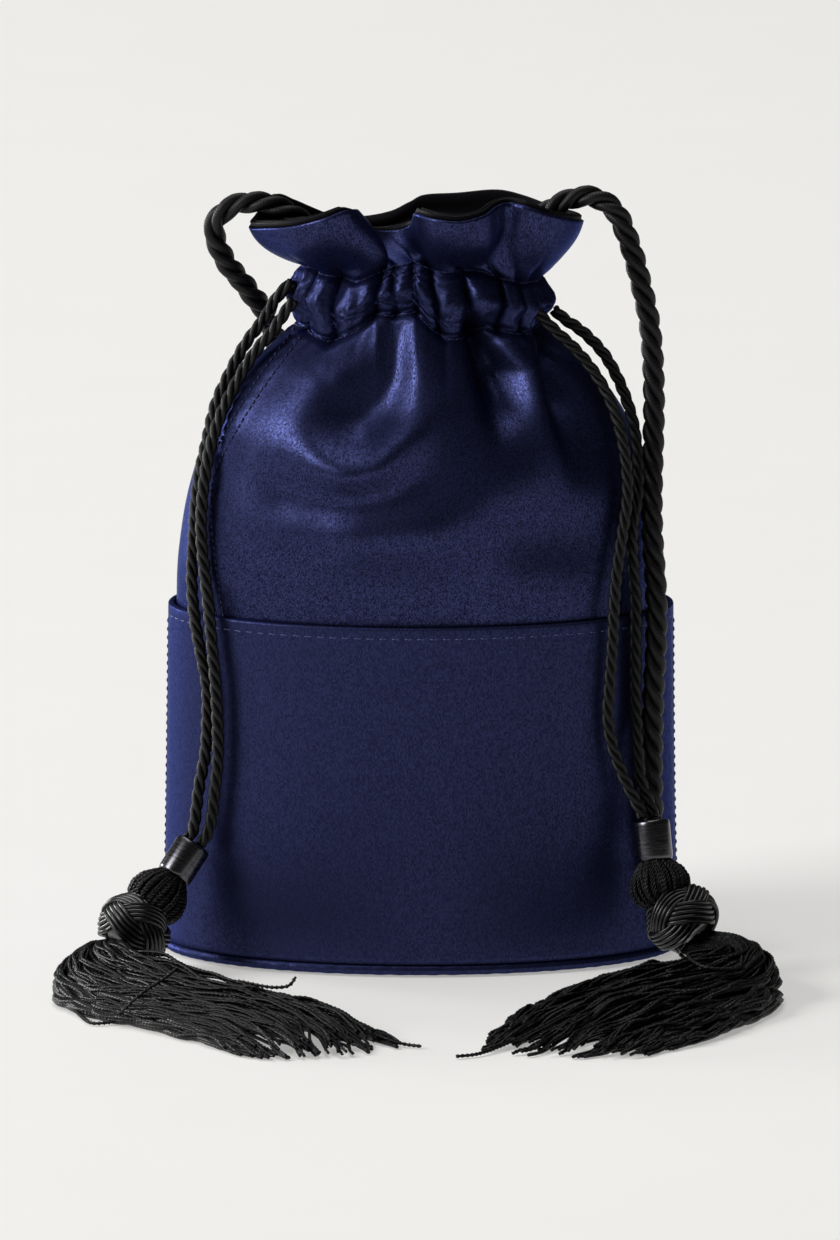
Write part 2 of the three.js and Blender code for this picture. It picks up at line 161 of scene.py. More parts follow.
def grain(tree: Tree, place: Socket, scale: Point, detail: float) -> Socket:
    """Adds noise whose grains are 1/scale millimetres long each way.

    Args:
        tree: node tree that gets the nodes.
        place: place on the cloth.
        scale: grains per millimetre each way.
        detail: how many finer noises are added to it.

    Returns:
        The noise, from 0 to 1.
    """
    spread = add_node(tree, "ShaderNodeMapping", {"Scale": scale}, {"Vector": place})
    settings = {"noise_dimensions": "2D", "Scale": 1.0, "Detail": detail}
    return add_node(tree, "ShaderNodeTexNoise", settings, {"Vector": spread.outputs["Vector"]}).outputs[0]


@dataclass(frozen=True)
class SatinFinish:
    """Duchesse satin, woven with long warp floats: a dark dyed face with a broad blue gloss.

    Light passes through the dyed filaments before it leaves, so the gloss keeps the dye's blue at every
    angle. The shader's metallic part gives that. A real thread is about 0.1 mm; warp_mm and weft_mm are drawn
    coarser so that the weave shows as a fine grain.
    """

    name: str
    face: str = "#393e68"
    deep: str = "#12152c"
    edge: str = "#aeb8f0"
    tinted: float = 0.85
    roughness: float = 0.4
    warp_mm: float = 0.3
    weft_mm: float = 0.3
    float_mm: float = 0.5
    weft_share: float = 0.32
    weave_height_mm: float = 0.035
    rough_swing: float = 0.09
    sheen: float = 0.3
    # Tones of the weave that take the deep colour and the face colour.
    tones: tuple[float, float] = (0.1, 0.9)

    def material(self) -> Material:
        """Builds the material: upright and level floats, each of its own tone, give colour and gloss.

        A noise drawn out along the warp gives a faint relief.

        Returns:
            The material.
        """
        material, tree, shader = new_material(self.name)
        place = cloth_place(tree)
        warp_scale = (1 / self.warp_mm, 1 / self.float_mm, 1.0)
        weft_scale = (1 / self.float_mm, 1 / self.weft_mm, 1.0)
        warp = self._floats(tree, place, warp_scale)
        weft = self._floats(tree, place, weft_scale)
        weave = add_node(
            tree, "ShaderNodeMix", {"data_type": "FLOAT", "Factor": self.weft_share}, {2: warp, 3: weft}
        ).outputs[0]
        low, high = self.tones
        colour = two_stops(tree, weave, (low, self.deep), (high, self.face))
        rough = add_node(
            tree,
            "ShaderNodeMapRange",
            {
                "From Min": low,
                "From Max": high,
                "To Min": self.roughness + self.rough_swing,
                "To Max": self.roughness - self.rough_swing,
            },
            {"Value": weave},
        )
        bump = add_node(
            tree,
            "ShaderNodeBump",
            {"Strength": 1.0, "Distance": self.weave_height_mm * MM},
            {"Height": grain(tree, place, warp_scale, 1.0)},
        )
        shader.inputs["Metallic"].default_value = self.tinted
        shader.inputs["Specular IOR Level"].default_value = self.sheen
        shader.inputs["Specular Tint"].default_value = linear(self.edge)
        tree.links.new(colour, shader.inputs["Base Color"])
        tree.links.new(rough.outputs["Result"], shader.inputs["Roughness"])
        tree.links.new(bump.outputs["Normal"], shader.inputs["Normal"])
        return material

    @staticmethod
    def _floats(tree: Tree, place: Socket, scale: Point) -> Socket:
        """Returns a tone of its own for each float of yarn, a cell 1/scale millimetres each way.

        Args:
            tree: node tree that gets the nodes.
            place: cloth coordinates in millimetres.
            scale: floats per millimetre across and up the cloth.

        Returns:
            The tone, from 0 to 1.
        """
        spread = add_node(tree, "ShaderNodeMapping", {"Scale": scale}, {"Vector": place})
        cell = add_node(tree, "ShaderNodeVectorMath", {"operation": "FLOOR"}, {0: spread.outputs["Vector"]})
        tone = add_node(
            tree, "ShaderNodeTexWhiteNoise", {"noise_dimensions": "2D"}, {"Vector": cell.outputs["Vector"]}
        )
        return tone.outputs["Value"]


@dataclass(frozen=True)
class ThreadFinish:
    """Twisted rayon thread: near-black filaments with a soft silky glint along each ply.

    Slanted ridges, ply_mm apart along the strand, are the plies of the twist. Their crests are painted
    lighter as a glint and their grooves darker as shade.
    """

    name: str
    # Colours of the plies' grooves, painted shade, and of their crests, a painted glint; the noise mixed in
    # adds a random tone of the thread.
    painted_groove_shade: str = "#030304"
    light: str = "#0b0b0d"
    roughness: float = 0.5
    ply_mm: float = 1.5
    slant: float = 1.0
    ridge_mm: float = 0.2
    gloss: float = 0.3

    def material(self) -> Material:
        """Builds the material: a wave of the distance along and the turn round the strand.

        Returns:
            The material.
        """
        material, tree, shader = new_material(self.name)
        place = cloth_place(tree)
        turn = add_node(
            tree, "ShaderNodeMapping", {"Scale": (1 / self.ply_mm, self.slant, 1.0)}, {"Vector": place}
        )
        # The bands lie on the diagonal of the scaled coordinates, one to each unit at a scale of 2 pi / 10.
        plies = add_node(
            tree,
            "ShaderNodeTexWave",
            {"bands_direction": "DIAGONAL", "Scale": 0.628, "Distortion": 0.0},
            {"Vector": turn.outputs["Vector"]},
        )
        fuzz = add_node(
            tree,
            "ShaderNodeTexNoise",
            {"noise_dimensions": "2D", "Scale": 3.0, "Detail": 2.0},
            {"Vector": place},
        )
        height = add_node(
            tree,
            "ShaderNodeMix",
            {"data_type": "FLOAT", "Factor": 0.3},
            {2: plies.outputs[1], 3: fuzz.outputs[0]},
        ).outputs[0]
        # Painted glint and shade: the plies' crests take the lighter colour and their grooves the darker one.
        colour = two_stops(tree, height, (0.2, self.painted_groove_shade), (0.85, self.light))
        bump = add_node(
            tree, "ShaderNodeBump", {"Strength": 0.8, "Distance": self.ridge_mm * MM}, {"Height": height}
        )
        shader.inputs["Roughness"].default_value = self.roughness
        shader.inputs["Specular IOR Level"].default_value = self.gloss
        tree.links.new(colour, shader.inputs["Base Color"])
        tree.links.new(bump.outputs["Normal"], shader.inputs["Normal"])
        return material


@dataclass(frozen=True)
class MetalFinish:
    """Gunmetal-plated brass, turned and brushed round: a dark soft mirror with fine rings."""

    name: str
    plate: str = "#4b4a4e"
    worn: str = "#626165"
    ring_mm: float = 0.35
    roughness: float = 0.24

    def material(self) -> Material:
        """Builds the material: noise in thin rings along the barrel's length.

        Returns:
            The material.
        """
        material, tree, shader = new_material(self.name)
        place = cloth_place(tree)
        brush = grain(tree, place, (1 / self.ring_mm, 0.12, 1.0), 3.0)
        colour = two_stops(tree, brush, (0.35, self.plate), (0.7, self.worn))
        rough = add_node(
            tree,
            "ShaderNodeMapRange",
            {"To Min": self.roughness - 0.06, "To Max": self.roughness + 0.1},
            {"Value": brush},
        )
        shader.inputs["Metallic"].default_value = 1.0
        tree.links.new(colour, shader.inputs["Base Color"])
        tree.links.new(rough.outputs["Result"], shader.inputs["Roughness"])
        return material


@dataclass(frozen=True)
class PaperFinish:
    """Matt photographer's paper over a light table: a pale warm grey with the faintest mottle.

    The light from below, glow, keeps the shadows on it pale.
    """

    name: str
    pale: str = "#c6c5c3"
    shade: str = "#c3c2c0"
    mottle_mm: float = 60.0
    glow: float = 0.63

    def material(self) -> Material:
        """Builds the material: slow noise between two close greys.

        Returns:
            The material.
        """
        material, tree, shader = new_material(self.name)
        place = add_node(tree, "ShaderNodeTexCoord").outputs["Object"]
        mottle = add_node(
            tree, "ShaderNodeTexNoise", {"Scale": 1 / (self.mottle_mm * MM)}, {"Vector": place}
        )
        colour = two_stops(tree, mottle.outputs[0], (0.0, self.shade), (1.0, self.pale))
        shader.inputs["Roughness"].default_value = 0.9
        shader.inputs["Specular IOR Level"].default_value = 0.1
        shader.inputs["Emission Color"].default_value = linear(self.pale)
        shader.inputs["Emission Strength"].default_value = self.glow
        tree.links.new(colour, shader.inputs["Base Color"])
        return material


@dataclass
class Shape:
    """Vertices in millimetres, faces by vertex number, and a texture place for each face corner."""

    vertices: Array
    quads: Array
    triangles: Array
    uv: Array

    def piece(self, name: str, material: Material, slot: Slot, nodes: tuple[str, ...] = ()) -> Object:
        """Makes the object, which rides on the bag and stands for its CAD nodes.

        Args:
            name: name of the piece.
            material: finish of the piece.
            slot: slot of the record that the finish belongs to; not used.
            nodes: CAD nodes that the piece stands for.

        Returns:
            The object, at the origin with its place in its mesh.
        """
        mesh = bpy.data.meshes.new(name)
        mesh.from_pydata((self.vertices * MM).tolist(), [], self.quads.tolist() + self.triangles.tolist())
        layer = mesh.uv_layers.new(name=CLOTH_UV)
        layer.data.foreach_set("uv", self.uv.astype(np.float32).ravel())
        mesh.polygons.foreach_set("use_smooth", np.ones(len(mesh.polygons), dtype=bool))
        mesh.materials.append(material)
        mesh.update()
        made = bpy.data.objects.new(name, mesh)
        bpy.context.scene.collection.objects.link(made)
        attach(made, "root")
        if nodes:
            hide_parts(*nodes)
        log.info("%s: %d faces", name, len(mesh.polygons))
        return made


def unit(vectors: Array) -> Array:
    """Scales each vector of the last axis to length one."""
    return vectors / np.maximum(np.linalg.norm(vectors, axis=-1, keepdims=True), 1e-9)


def swung(first: Array, second: Array, turn: Array) -> Array:
    """Directions turned from first towards second: first cos t + second sin t."""
    return first * np.cos(turn)[..., None] + second * np.sin(turn)[..., None]


def walk_along(line: Array) -> Array:
    """Distance walked to each point of a line, from nought at its start."""
    return np.concatenate([[0.0], np.cumsum(np.linalg.norm(np.diff(line, axis=0), axis=1))])


def walk_up(rows: Array) -> Array:
    """Distance walked up a cloth to each of its rows, as the mean of its columns."""
    steps = np.linalg.norm(np.diff(rows, axis=0), axis=2).mean(axis=1)
    return np.concatenate([[0.0], np.cumsum(steps)])


def read_at(stops: Array, marks: Array, rows: Array) -> Array:
    """Reads rows of values at stops between their marks, each column by straight lines."""
    return np.stack([np.interp(stops, marks, column) for column in rows.T], axis=1)


def raised(plan: Array, z: Array) -> Array:
    """Lifts each row of points in plan to its height.

    Args:
        plan: X and Y, shaped (rows, columns, 2).
        z: height of each row.

    Returns:
        Points shaped (rows, columns, 3).
    """
    return np.concatenate([plan, np.broadcast_to(z[:, None, None], plan.shape[:2] + (1,))], axis=2)


def thicken(piece: Object, thick: float, way: float) -> None:
    """Gives a cloth its thickness.

    Args:
        piece: the cloth.
        thick: thickness.
        way: -1 where the thickness lies behind its faces, 1 where it lies before them.
    """
    wall = piece.modifiers.new("cloth_thickness", "SOLIDIFY")
    wall.thickness = thick * MM
    wall.offset = way


def joined(shapes: list[Shape]) -> Shape:
    """Joins shapes of one finish into one.

    Args:
        shapes: the shapes, in order.

    Returns:
        One shape with the vertices and faces of all.
    """
    starts = np.cumsum([0] + [len(s.vertices) for s in shapes[:-1]])
    corners_4 = [s.uv[: 4 * len(s.quads)] for s in shapes]
    corners_3 = [s.uv[4 * len(s.quads) :] for s in shapes]
    return Shape(
        np.concatenate([s.vertices for s in shapes]),
        np.concatenate([s.quads + n for s, n in zip(shapes, starts)]),
        np.concatenate([s.triangles + n for s, n in zip(shapes, starts)]),
        np.concatenate(corners_4 + corners_3),
    )


def lofted(rings: Array, along: Array, around: Array, capped: bool = True, cloth: bool = False) -> Shape:
    """Skins tubes: quads between neighbouring rings, and a fan of triangles over each end.

    Ring points run anticlockwise as seen from ahead, so the faces point outwards.

    Args:
        rings: points of the tubes, shaped (tubes, stations, sides, 3).
        along: texture distance of each station, shaped (tubes, stations).
        around: texture distance of each side and of the first side met again, shaped (sides + 1).
        capped: whether the ends are closed.
        cloth: whether texture U runs round, as the weft does, and not along.

    Returns:
        The skinned tubes as one shape.
    """
    tubes, stations, sides, _ = rings.shape
    number = np.arange(tubes * stations * sides).reshape(tubes, stations, sides)
    turned = np.roll(number, -1, axis=2)
    corners = (number[:, :-1], turned[:, :-1], turned[:, 1:], number[:, 1:])
    quads = np.stack(corners, axis=-1).reshape(-1, 4)
    grid = np.empty((tubes, stations, sides + 1, 2))
    grid[..., 0] = along[:, :, None]
    grid[..., 1] = around
    uv_corners = (grid[:, :-1, :-1], grid[:, :-1, 1:], grid[:, 1:, 1:], grid[:, 1:, :-1])
    uv = np.stack(uv_corners, axis=3).reshape(-1, 2)
    vertices = rings.reshape(-1, 3)
    triangles = np.empty((0, 3), dtype=int)
    if capped:
        start = len(vertices)
        tips = np.concatenate([rings[:, 0].mean(axis=1), rings[:, -1].mean(axis=1)])
        vertices = np.concatenate([vertices, tips])
        first = np.broadcast_to(start + np.arange(tubes)[:, None], (tubes, sides))
        last = first + tubes
        near = np.stack((turned[:, 0], number[:, 0], first), axis=-1)
        far = np.stack((number[:, -1], turned[:, -1], last), axis=-1)
        triangles = np.concatenate([near, far]).reshape(-1, 3)
        ends = np.stack([along[:, 0], along[:, -1]]).repeat(sides * 3)
        uv = np.concatenate([uv, np.stack([ends, np.zeros_like(ends)], axis=1)])
    return Shape(vertices, quads, triangles, uv[:, ::-1] if cloth else uv)


def spline(knots: Array, spacing: float) -> Array:
    """Draws a smooth line through given points.

    Each stretch is a cubic blended from the straight lines through its four nearest points, whose times grow
    with the square root of the chord.

    Args:
        knots: points of the route.
        spacing: distance between the points of the line.

    Returns:
        Points at even distances along the line.
    """
    ends = (2 * knots[:1] - knots[1:2], knots, 2 * knots[-1:] - knots[-2:-1])
    p = np.concatenate(ends)
    times = np.concatenate([[0.0], np.cumsum(np.sqrt(np.linalg.norm(np.diff(p, axis=0), axis=1)))])
    p0, p1, p2, p3 = (p[i : len(p) - 3 + i, None] for i in range(4))
    t0, t1, t2, t3 = (times[i : len(p) - 3 + i, None, None] for i in range(4))
    t = t1 + (t2 - t1) * np.linspace(0, 1, 24, endpoint=False)[None, :, None]
    a1 = ((t1 - t) * p0 + (t - t0) * p1) / (t1 - t0)
    a2 = ((t2 - t) * p1 + (t - t1) * p2) / (t2 - t1)
    a3 = ((t3 - t) * p2 + (t - t2) * p3) / (t3 - t2)
    b1 = ((t2 - t) * a1 + (t - t0) * a2) / (t2 - t0)
    b2 = ((t3 - t) * a2 + (t - t1) * a3) / (t3 - t1)
    line = ((t2 - t) * b1 + (t - t1) * b2) / (t2 - t1)
    return evenly(np.concatenate([line.reshape(-1, 3), knots[-1:]]), spacing)


def evenly(line: Array, spacing: float) -> Array:
    """Places points at even distances along a line of short chords.

    Args:
        line: points of the line.
        spacing: wanted distance between points.

    Returns:
        The new points, with both ends of the line among them.
    """
    walked = walk_along(line)
    stops = np.linspace(0, walked[-1], max(2, int(round(walked[-1] / spacing)) + 1))
    return read_at(stops, walked, line)


def tubes_along(
    lines: Array, radius: Array | float, sides: int, out: Array, twist: Array | float = 0.0, flat: float = 1.0
) -> Shape:
    """Carries a circle, or an oval that turns as it goes, along lines.

    The section stands square to the line, and out marks where round it the first side lies.

    Args:
        lines: points of the lines, shaped (tubes, stations, 3).
        radius: radius of the section, one for all or one for each station.
        sides: points of the section.
        out: directions away from the line, shaped as the lines.
        twist: turn of the section, one for all or one for each station.
        flat: share of the radius at every other point, which makes four points an oval.

    Returns:
        The closed tubes as one shape.
    """
    ahead = unit(np.gradient(lines, axis=1))
    out = unit(out - ahead * np.sum(out * ahead, axis=-1, keepdims=True))
    across = np.cross(ahead, out)
    number = np.arange(sides)
    turn = np.broadcast_to(twist, lines.shape[:2])[..., None] + number * 2 * np.pi / sides
    spokes = swung(out[:, :, None], across[:, :, None], turn)
    size = np.broadcast_to(radius, lines.shape[:2])[..., None, None]
    wide = size * np.where(number % 2, flat, 1.0)[:, None]
    walked = np.linalg.norm(np.diff(lines, axis=1), axis=-1)
    along = np.concatenate([np.zeros((len(lines), 1)), np.cumsum(walked, axis=1)], axis=1)
    return lofted(lines[:, :, None] + spokes * wide, along, np.linspace(0, 1, sides + 1))


def crosswise(line: Array, guide: Point) -> tuple[Array, Array]:
    """Finds two directions square to a line, turned as little as a fixed guide allows.

    Args:
        line: points of the line.
        guide: direction that the line never takes.

    Returns:
        The guide made square to the line at each point, and the direction square to both.
    """
    ahead = unit(np.gradient(line, axis=0))
    first = unit(np.array(guide) - ahead * (ahead @ np.array(guide))[:, None])
    return first, np.cross(ahead, first)


def oval(angle: Array, half_width: Array, half_depth: Array, inset: Array | float = 0.0) -> Array:
    """Points on an oval in plan: (half_width cos a, half_depth sin a), moved inward along its normal.

    Args:
        angle: angle a from +X, in radians.
        half_width: half size along X.
        half_depth: half size along Y.
        inset: distance inward.

    Returns:
        X and Y of the points on a last axis of two.
    """
    normal_x = np.cos(angle) * half_depth
    normal_y = np.sin(angle) * half_width
    length = np.hypot(normal_x, normal_y)
    x = half_width * np.cos(angle) - inset * normal_x / length
    y = half_depth * np.sin(angle) - inset * normal_y / length
    return np.stack(np.broadcast_arrays(x, y), axis=-1)


def even_angles(half_width: float, half_depth: float, count: int) -> Array:
    """Angles at even distances round an oval, from its back round by its left end.

    Args:
        half_width: half size along X.
        half_depth: half size along Y.
        count: number of angles.

    Returns:
        The angles in radians, from a quarter turn up.
    """
    fine = np.linspace(0.5 * np.pi, 2.5 * np.pi, 4001)
    walked = walk_along(oval(fine, half_width, half_depth))
    return np.interp(np.arange(count) * walked[-1] / count, walked, fine)


def bell(angle: Array, middle_deg: Array | float, spread_deg: float) -> Array:
    """Bell curve of an angle: exp(-(d / spread)^2), d being the shortest turn from the middle.

    Args:
        angle: angles in radians.
        middle_deg: angle of the bell's top in degrees.
        spread_deg: width of the bell in degrees.

    Returns:
        Shares from 0 to 1.
    """
    away = (np.degrees(angle) - middle_deg + 180.0) % 360.0 - 180.0
    return np.exp(-((away / spread_deg) ** 2))


def smooth(share: Array) -> Array:
    """Eases a share from 0 to 1 by 3 s^2 - 2 s^3, with what lies outside held at the ends."""
    held = np.clip(share, 0.0, 1.0)
    return held * held * (3.0 - 2.0 * held)


def stitches(at: Array, along: Array, out: Array, length: float, radius: float) -> Shape:
    """Lays short stitches: each a small capsule, bowed up in its middle and sunk at both ends.

    Args:
        at: middle of each stitch.
        along: direction of each stitch.
        out: direction away from the cloth at each stitch.
        length: length of a stitch.
        radius: half thickness of the thread.

    Returns:
        All stitches as one shape.
    """
    share = np.array([-1.0, -0.72, 0.0, 0.72, 1.0])
    thick = radius * np.array([0.35, 0.85, 1.0, 0.85, 0.35])
    rise = radius * (0.7 - 1.3 * share**2)
    lines = at[:, None] + along[:, None] * (share * length / 2)[:, None] + out[:, None] * rise[:, None]
    outs = np.broadcast_to(out[:, None], lines.shape)
    return tubes_along(lines, thick, 5, outs)


@dataclass
class Bucket:
    """Stiff oval bucket: satin over board, with a turned and topstitched upper edge and bottom piping."""

    foot: tuple[float, float] = (86.0, 47.5)
    top: tuple[float, float] = (84.2, 47.0)
    draw_in: float = 0.3
    foot_z: float = 4.2
    top_z: float = 118.0
    wall: float = 2.2
    edge_radius: float = 0.9
    stitch_drop: float = 3.7
    stitch_pitch: float = 4.2
    stitch_length: float = 2.9
    stitch_radius: float = 0.26
    stitch_lift: float = 0.1
    # Depth and half width of the line that the topstitches pull in.
    stitch_pull: float = 0.12
    stitch_spread: float = 0.55
    seam_pitch: float = 2.9
    seam_stitch: float = 0.62
    seam_groove: float = 0.35
    groove_spread_deg: float = 0.5
    seam_angles_deg: tuple[float, float] = (-2.2, -177.8)
    swell: float = 0.25
    swell_height: float = 114.0
    piping_diameter: float = 3.6
    piping_girth: float = 11.3
    piping_proud: float = 0.4
    piping_lift: float = 0.4
    piping_sides: int = 14
    piping_pucker: tuple[float, float] = (0.05, 0.04)
    floor_size: tuple[float, float] = (82.5, 44.0)
    floor_thick: float = 3.6
    floor_edge: float = 0.5
    # Texture distances over the floor panel's section and round it.
    floor_walk: float = 90.0
    floor_girth: float = 400.0
    floor_columns: int = 160
    columns: int = 420

    def sizes(self, z: Array) -> tuple[Array, Array]:
        """Half width and half depth at a height: straight from foot to top, less a waist of one half wave.

        Args:
            z: heights.

        Returns:
            Half widths and half depths.
        """
        share = np.clip((z - self.foot_z) / (self.top_z - self.foot_z), 0, 1)
        half_width = self.foot[0] + (self.top[0] - self.foot[0]) * share
        half_depth = self.foot[1] + (self.top[1] - self.foot[1]) * share
        return half_width - self.draw_in * np.sin(np.pi * share), half_depth

    def profile(self) -> tuple[Array, Array]:
        """Section of the wall: up the face, over a rounded edge, and down the inside.

        Returns:
            Heights, and distances inward from the face.
        """
        rise = np.linspace(self.foot_z, self.top_z - self.edge_radius, 64)
        turn = np.linspace(0, np.pi / 2, 7)[1:]
        r = self.edge_radius
        edge_z = self.top_z - r + r * np.sin(turn)
        edge_in = r - r * np.cos(turn)
        inner = np.linspace(self.top_z - r, self.foot_z, 24)
        z = np.concatenate([rise, edge_z, edge_z[::-1], inner])
        inner_in = np.full_like(inner, self.wall)
        inset = np.concatenate([np.zeros_like(rise), edge_in, self.wall - edge_in[::-1], inner_in])
        return z, inset

    def face(self, angle: Array, z: Array, inset: Array) -> Array:
        """Points of the wall, with a pulled-in line at the topstitching and a groove at each end seam.

        Args:
            angle: plan angles, in columns.
            z: heights, in rows.
            inset: distances inward, in rows.

        Returns:
            Points shaped (rows, columns, 3).
        """
        half_width, half_depth = self.sizes(z)
        round_mm = np.arange(len(angle)) / len(angle) * self.perimeter()
        outside = (inset == 0)[:, None]
        stitch_z = self.top_z - self.stitch_drop
        row = np.exp(-(((z - stitch_z) / self.stitch_spread) ** 2))[:, None] * outside
        pull = self.stitch_pull + self.stitch_pull * np.cos(2 * np.pi * round_mm / self.stitch_pitch)
        seam = sum(bell(angle, end, self.groove_spread_deg) for end in (0, 180))[None] * outside
        up = np.sin(np.pi * (z - self.foot_z) / self.swell_height)[:, None]
        swell = self.swell * np.sin(3 * angle + 0.6)[None] * up
        deep = inset[:, None] + row * pull + self.seam_groove * seam + swell * outside
        plan = oval(angle[None], half_width[:, None], half_depth[:, None], deep)
        return raised(plan, z)

    def perimeter(self) -> float:
        """Length round the top edge: closely pi (3 (a + b) - the root of (3 a + b)(a + 3 b))."""
        a, b = self.top
        return float(np.pi * (3 * (a + b) - np.sqrt((3 * a + b) * (a + 3 * b))))

    def outward(self, angle: Array) -> Array:
        """Level directions away from the wall at plan angles, as three numbers each."""
        normal = np.stack([np.cos(angle) / self.top[0], np.sin(angle) / self.top[1], angle * 0], axis=-1)
        return unit(normal)

    def build(self, satin: Material, thread: Material) -> None:
        """Builds the wall, piping, floor and stitches.

        Args:
            satin: finish of the cloth.
            thread: finish of the topstitching.
        """
        angle = even_angles(*self.top, self.columns)
        z, inset = self.profile()
        points = self.face(angle, z, inset)
        around = np.linspace(0, self.perimeter(), self.columns + 1)
        wall = lofted(points[None], z[None], around, capped=False, cloth=True)
        number = np.arange(len(z) * self.columns).reshape(len(z), self.columns)
        turned = np.roll(number, -1, axis=1)
        sole = np.stack((number[-1], turned[-1], turned[0], number[0]), axis=-1)
        wall.quads = np.concatenate([wall.quads, sole])
        wall.uv = np.concatenate([wall.uv, np.zeros((4 * self.columns, 2))])
        wall.piece("bucket_wall_satin", satin, Slot.SATIN_BUCKET, ("bucket_wall",))
        self.piping().piece("bucket_piping_satin", satin, Slot.SATIN_BUCKET, ("bucket_piping",))
        self.floor().piece("bucket_floor_satin", satin, Slot.SATIN_BUCKET, ("bucket_floor",))
        joined([self.topstitching(), self.end_seams()]).piece(
            "bucket_stitches", thread, Slot.SATIN_BUCKET
        )

    def piping(self) -> Shape:
        """Piping round the foot: a circle of satin over cord, carried round the oval, puckered a little.

        Returns:
            The piping.
        """
        angle = even_angles(*self.foot, self.columns)
        radius = self.piping_diameter / 2
        inset = radius - self.piping_proud
        plan = oval(angle, self.foot[0], self.foot[1], inset)
        height = np.full((self.columns, 1), self.piping_lift + radius)
        line = np.concatenate([plan, height], axis=1)
        close, wide = self.piping_pucker
        pucker = radius + close * np.sin(angle * 90) + wide * np.sin(angle * 61 + 1)
        turn = np.linspace(0, 2 * np.pi, self.piping_sides + 1)[:-1]
        swing = swung(self.outward(angle)[:, None], UP, turn)
        rings = line[:, None] + swing * pucker[:, None, None]
        walked = np.arange(self.columns + 1) * self.perimeter() / self.columns
        hoops = np.swapaxes(rings, 0, 1)[None]
        closed = np.concatenate([hoops, hoops[:, :1]], axis=1)
        girth = np.linspace(0, self.piping_girth, self.piping_sides + 1)
        return lofted(closed, girth[None], walked, capped=False, cloth=True)

    def floor(self) -> Shape:
        """Floor panel: rings of one oval growing along the underside, up the edge and back in on top.

        Returns:
            The panel.
        """
        growing = np.array([0.02, 0.4, 0.8, 0.97, 1.0])
        share = np.concatenate([growing, growing[::-1]])
        below = np.array([0.0, 0.0, 0.0, 0.0, self.floor_edge])
        z = np.concatenate([below, self.floor_thick - below[::-1]])
        angle = even_angles(*self.floor_size, self.floor_columns)
        plan = oval(angle[None], *self.floor_size) * share[:, None, None]
        along = np.linspace(0, self.floor_walk, len(z))
        around = np.linspace(0, self.floor_girth, self.floor_columns + 1)
        return lofted(raised(plan, z)[None], along[None], around, cloth=True)

    def topstitching(self) -> Shape:
        """One row of stitches round the bucket, below its upper edge.

        Returns:
            The stitches.
        """
        count = int(round(self.perimeter() / self.stitch_pitch))
        angle = even_angles(*self.top, count)
        z = np.full(1, self.top_z - self.stitch_drop)
        at = self.face(angle, z, np.zeros(1))[0]
        out = self.outward(angle)
        along = np.cross(UP, out)
        at = at + out * self.stitch_lift
        return stitches(at, along, out, self.stitch_length, self.stitch_radius)

    def end_seams(self) -> Shape:
        """A row of stitches up each end, just in front of the seam's groove.

        Returns:
            The stitches.
        """
        z = np.arange(self.foot_z + 3, self.top_z - self.stitch_drop - 2, self.seam_pitch)
        rows = []
        for angle in np.radians(self.seam_angles_deg):
            at = self.face(np.array([angle]), z, np.zeros_like(z))[:, 0]
            out = np.broadcast_to(self.outward(np.array([angle])), at.shape)
            along = np.broadcast_to(UP, at.shape)
            rows.append(stitches(at, along, out, self.seam_pitch * self.seam_stitch, self.stitch_radius))
        return joined(rows)


class Face(Enum):
    """Face of the pouch that a drape lies on, as the sign of its Y."""

    FRONT = -1
    BACK = 1


def facing(y: Array, face: Face) -> Array:
    """Share of a face at points: half on the side line of the bag, and all of it 6 mm past that line."""
    return smooth(0.5 + 0.08 * y * face.value)


@dataclass
class Drape:
    """A hollow or, with a depth below zero, a swell of the cloth, drawn along a line on one face.

    Each row of the line is X, Z, depth inward and spread, and the drape fades as a bell of the distance
    to it. left and right stretch the spread to either side, so a valley can have one slow and one steep
    flank. Neighbouring bells raise the joint depth by about a fifth, which bell_share takes off again.
    """

    line: tuple[tuple[float, float, float, float], ...]
    left: float = 1.0
    right: float = 1.0
    face: Face = Face.FRONT
    bells: int = 7
    power: int = 8
    bell_share: float = 0.82

    def depth(self, x: Array, y: Array, z: Array) -> Array:
        """Depth at points: bells strung closely along the line, joined as the root of their summed powers.

        Args:
            x: X of the points.
            y: Y of the points.
            z: Z of the points.

        Returns:
            Distances inward.
        """
        rows = np.array(self.line, dtype=float)
        stops = np.linspace(0, len(rows) - 1, self.bells * (len(rows) - 1) + 1)
        total = np.zeros(np.broadcast(x, z).shape)
        for dot_x, dot_z, deep, spread in read_at(stops, np.arange(len(rows)), rows):
            off = x - dot_x
            away = ((off / np.where(off < 0, self.left, self.right)) ** 2 + (z - dot_z) ** 2) / spread**2
            total += abs(deep) ** self.power * np.exp(-self.power * away)
        strongest = self.bell_share * total ** (1 / self.power)
        return strongest * facing(y, self.face) * (1 if rows[:, 2].sum() > 0 else -1)


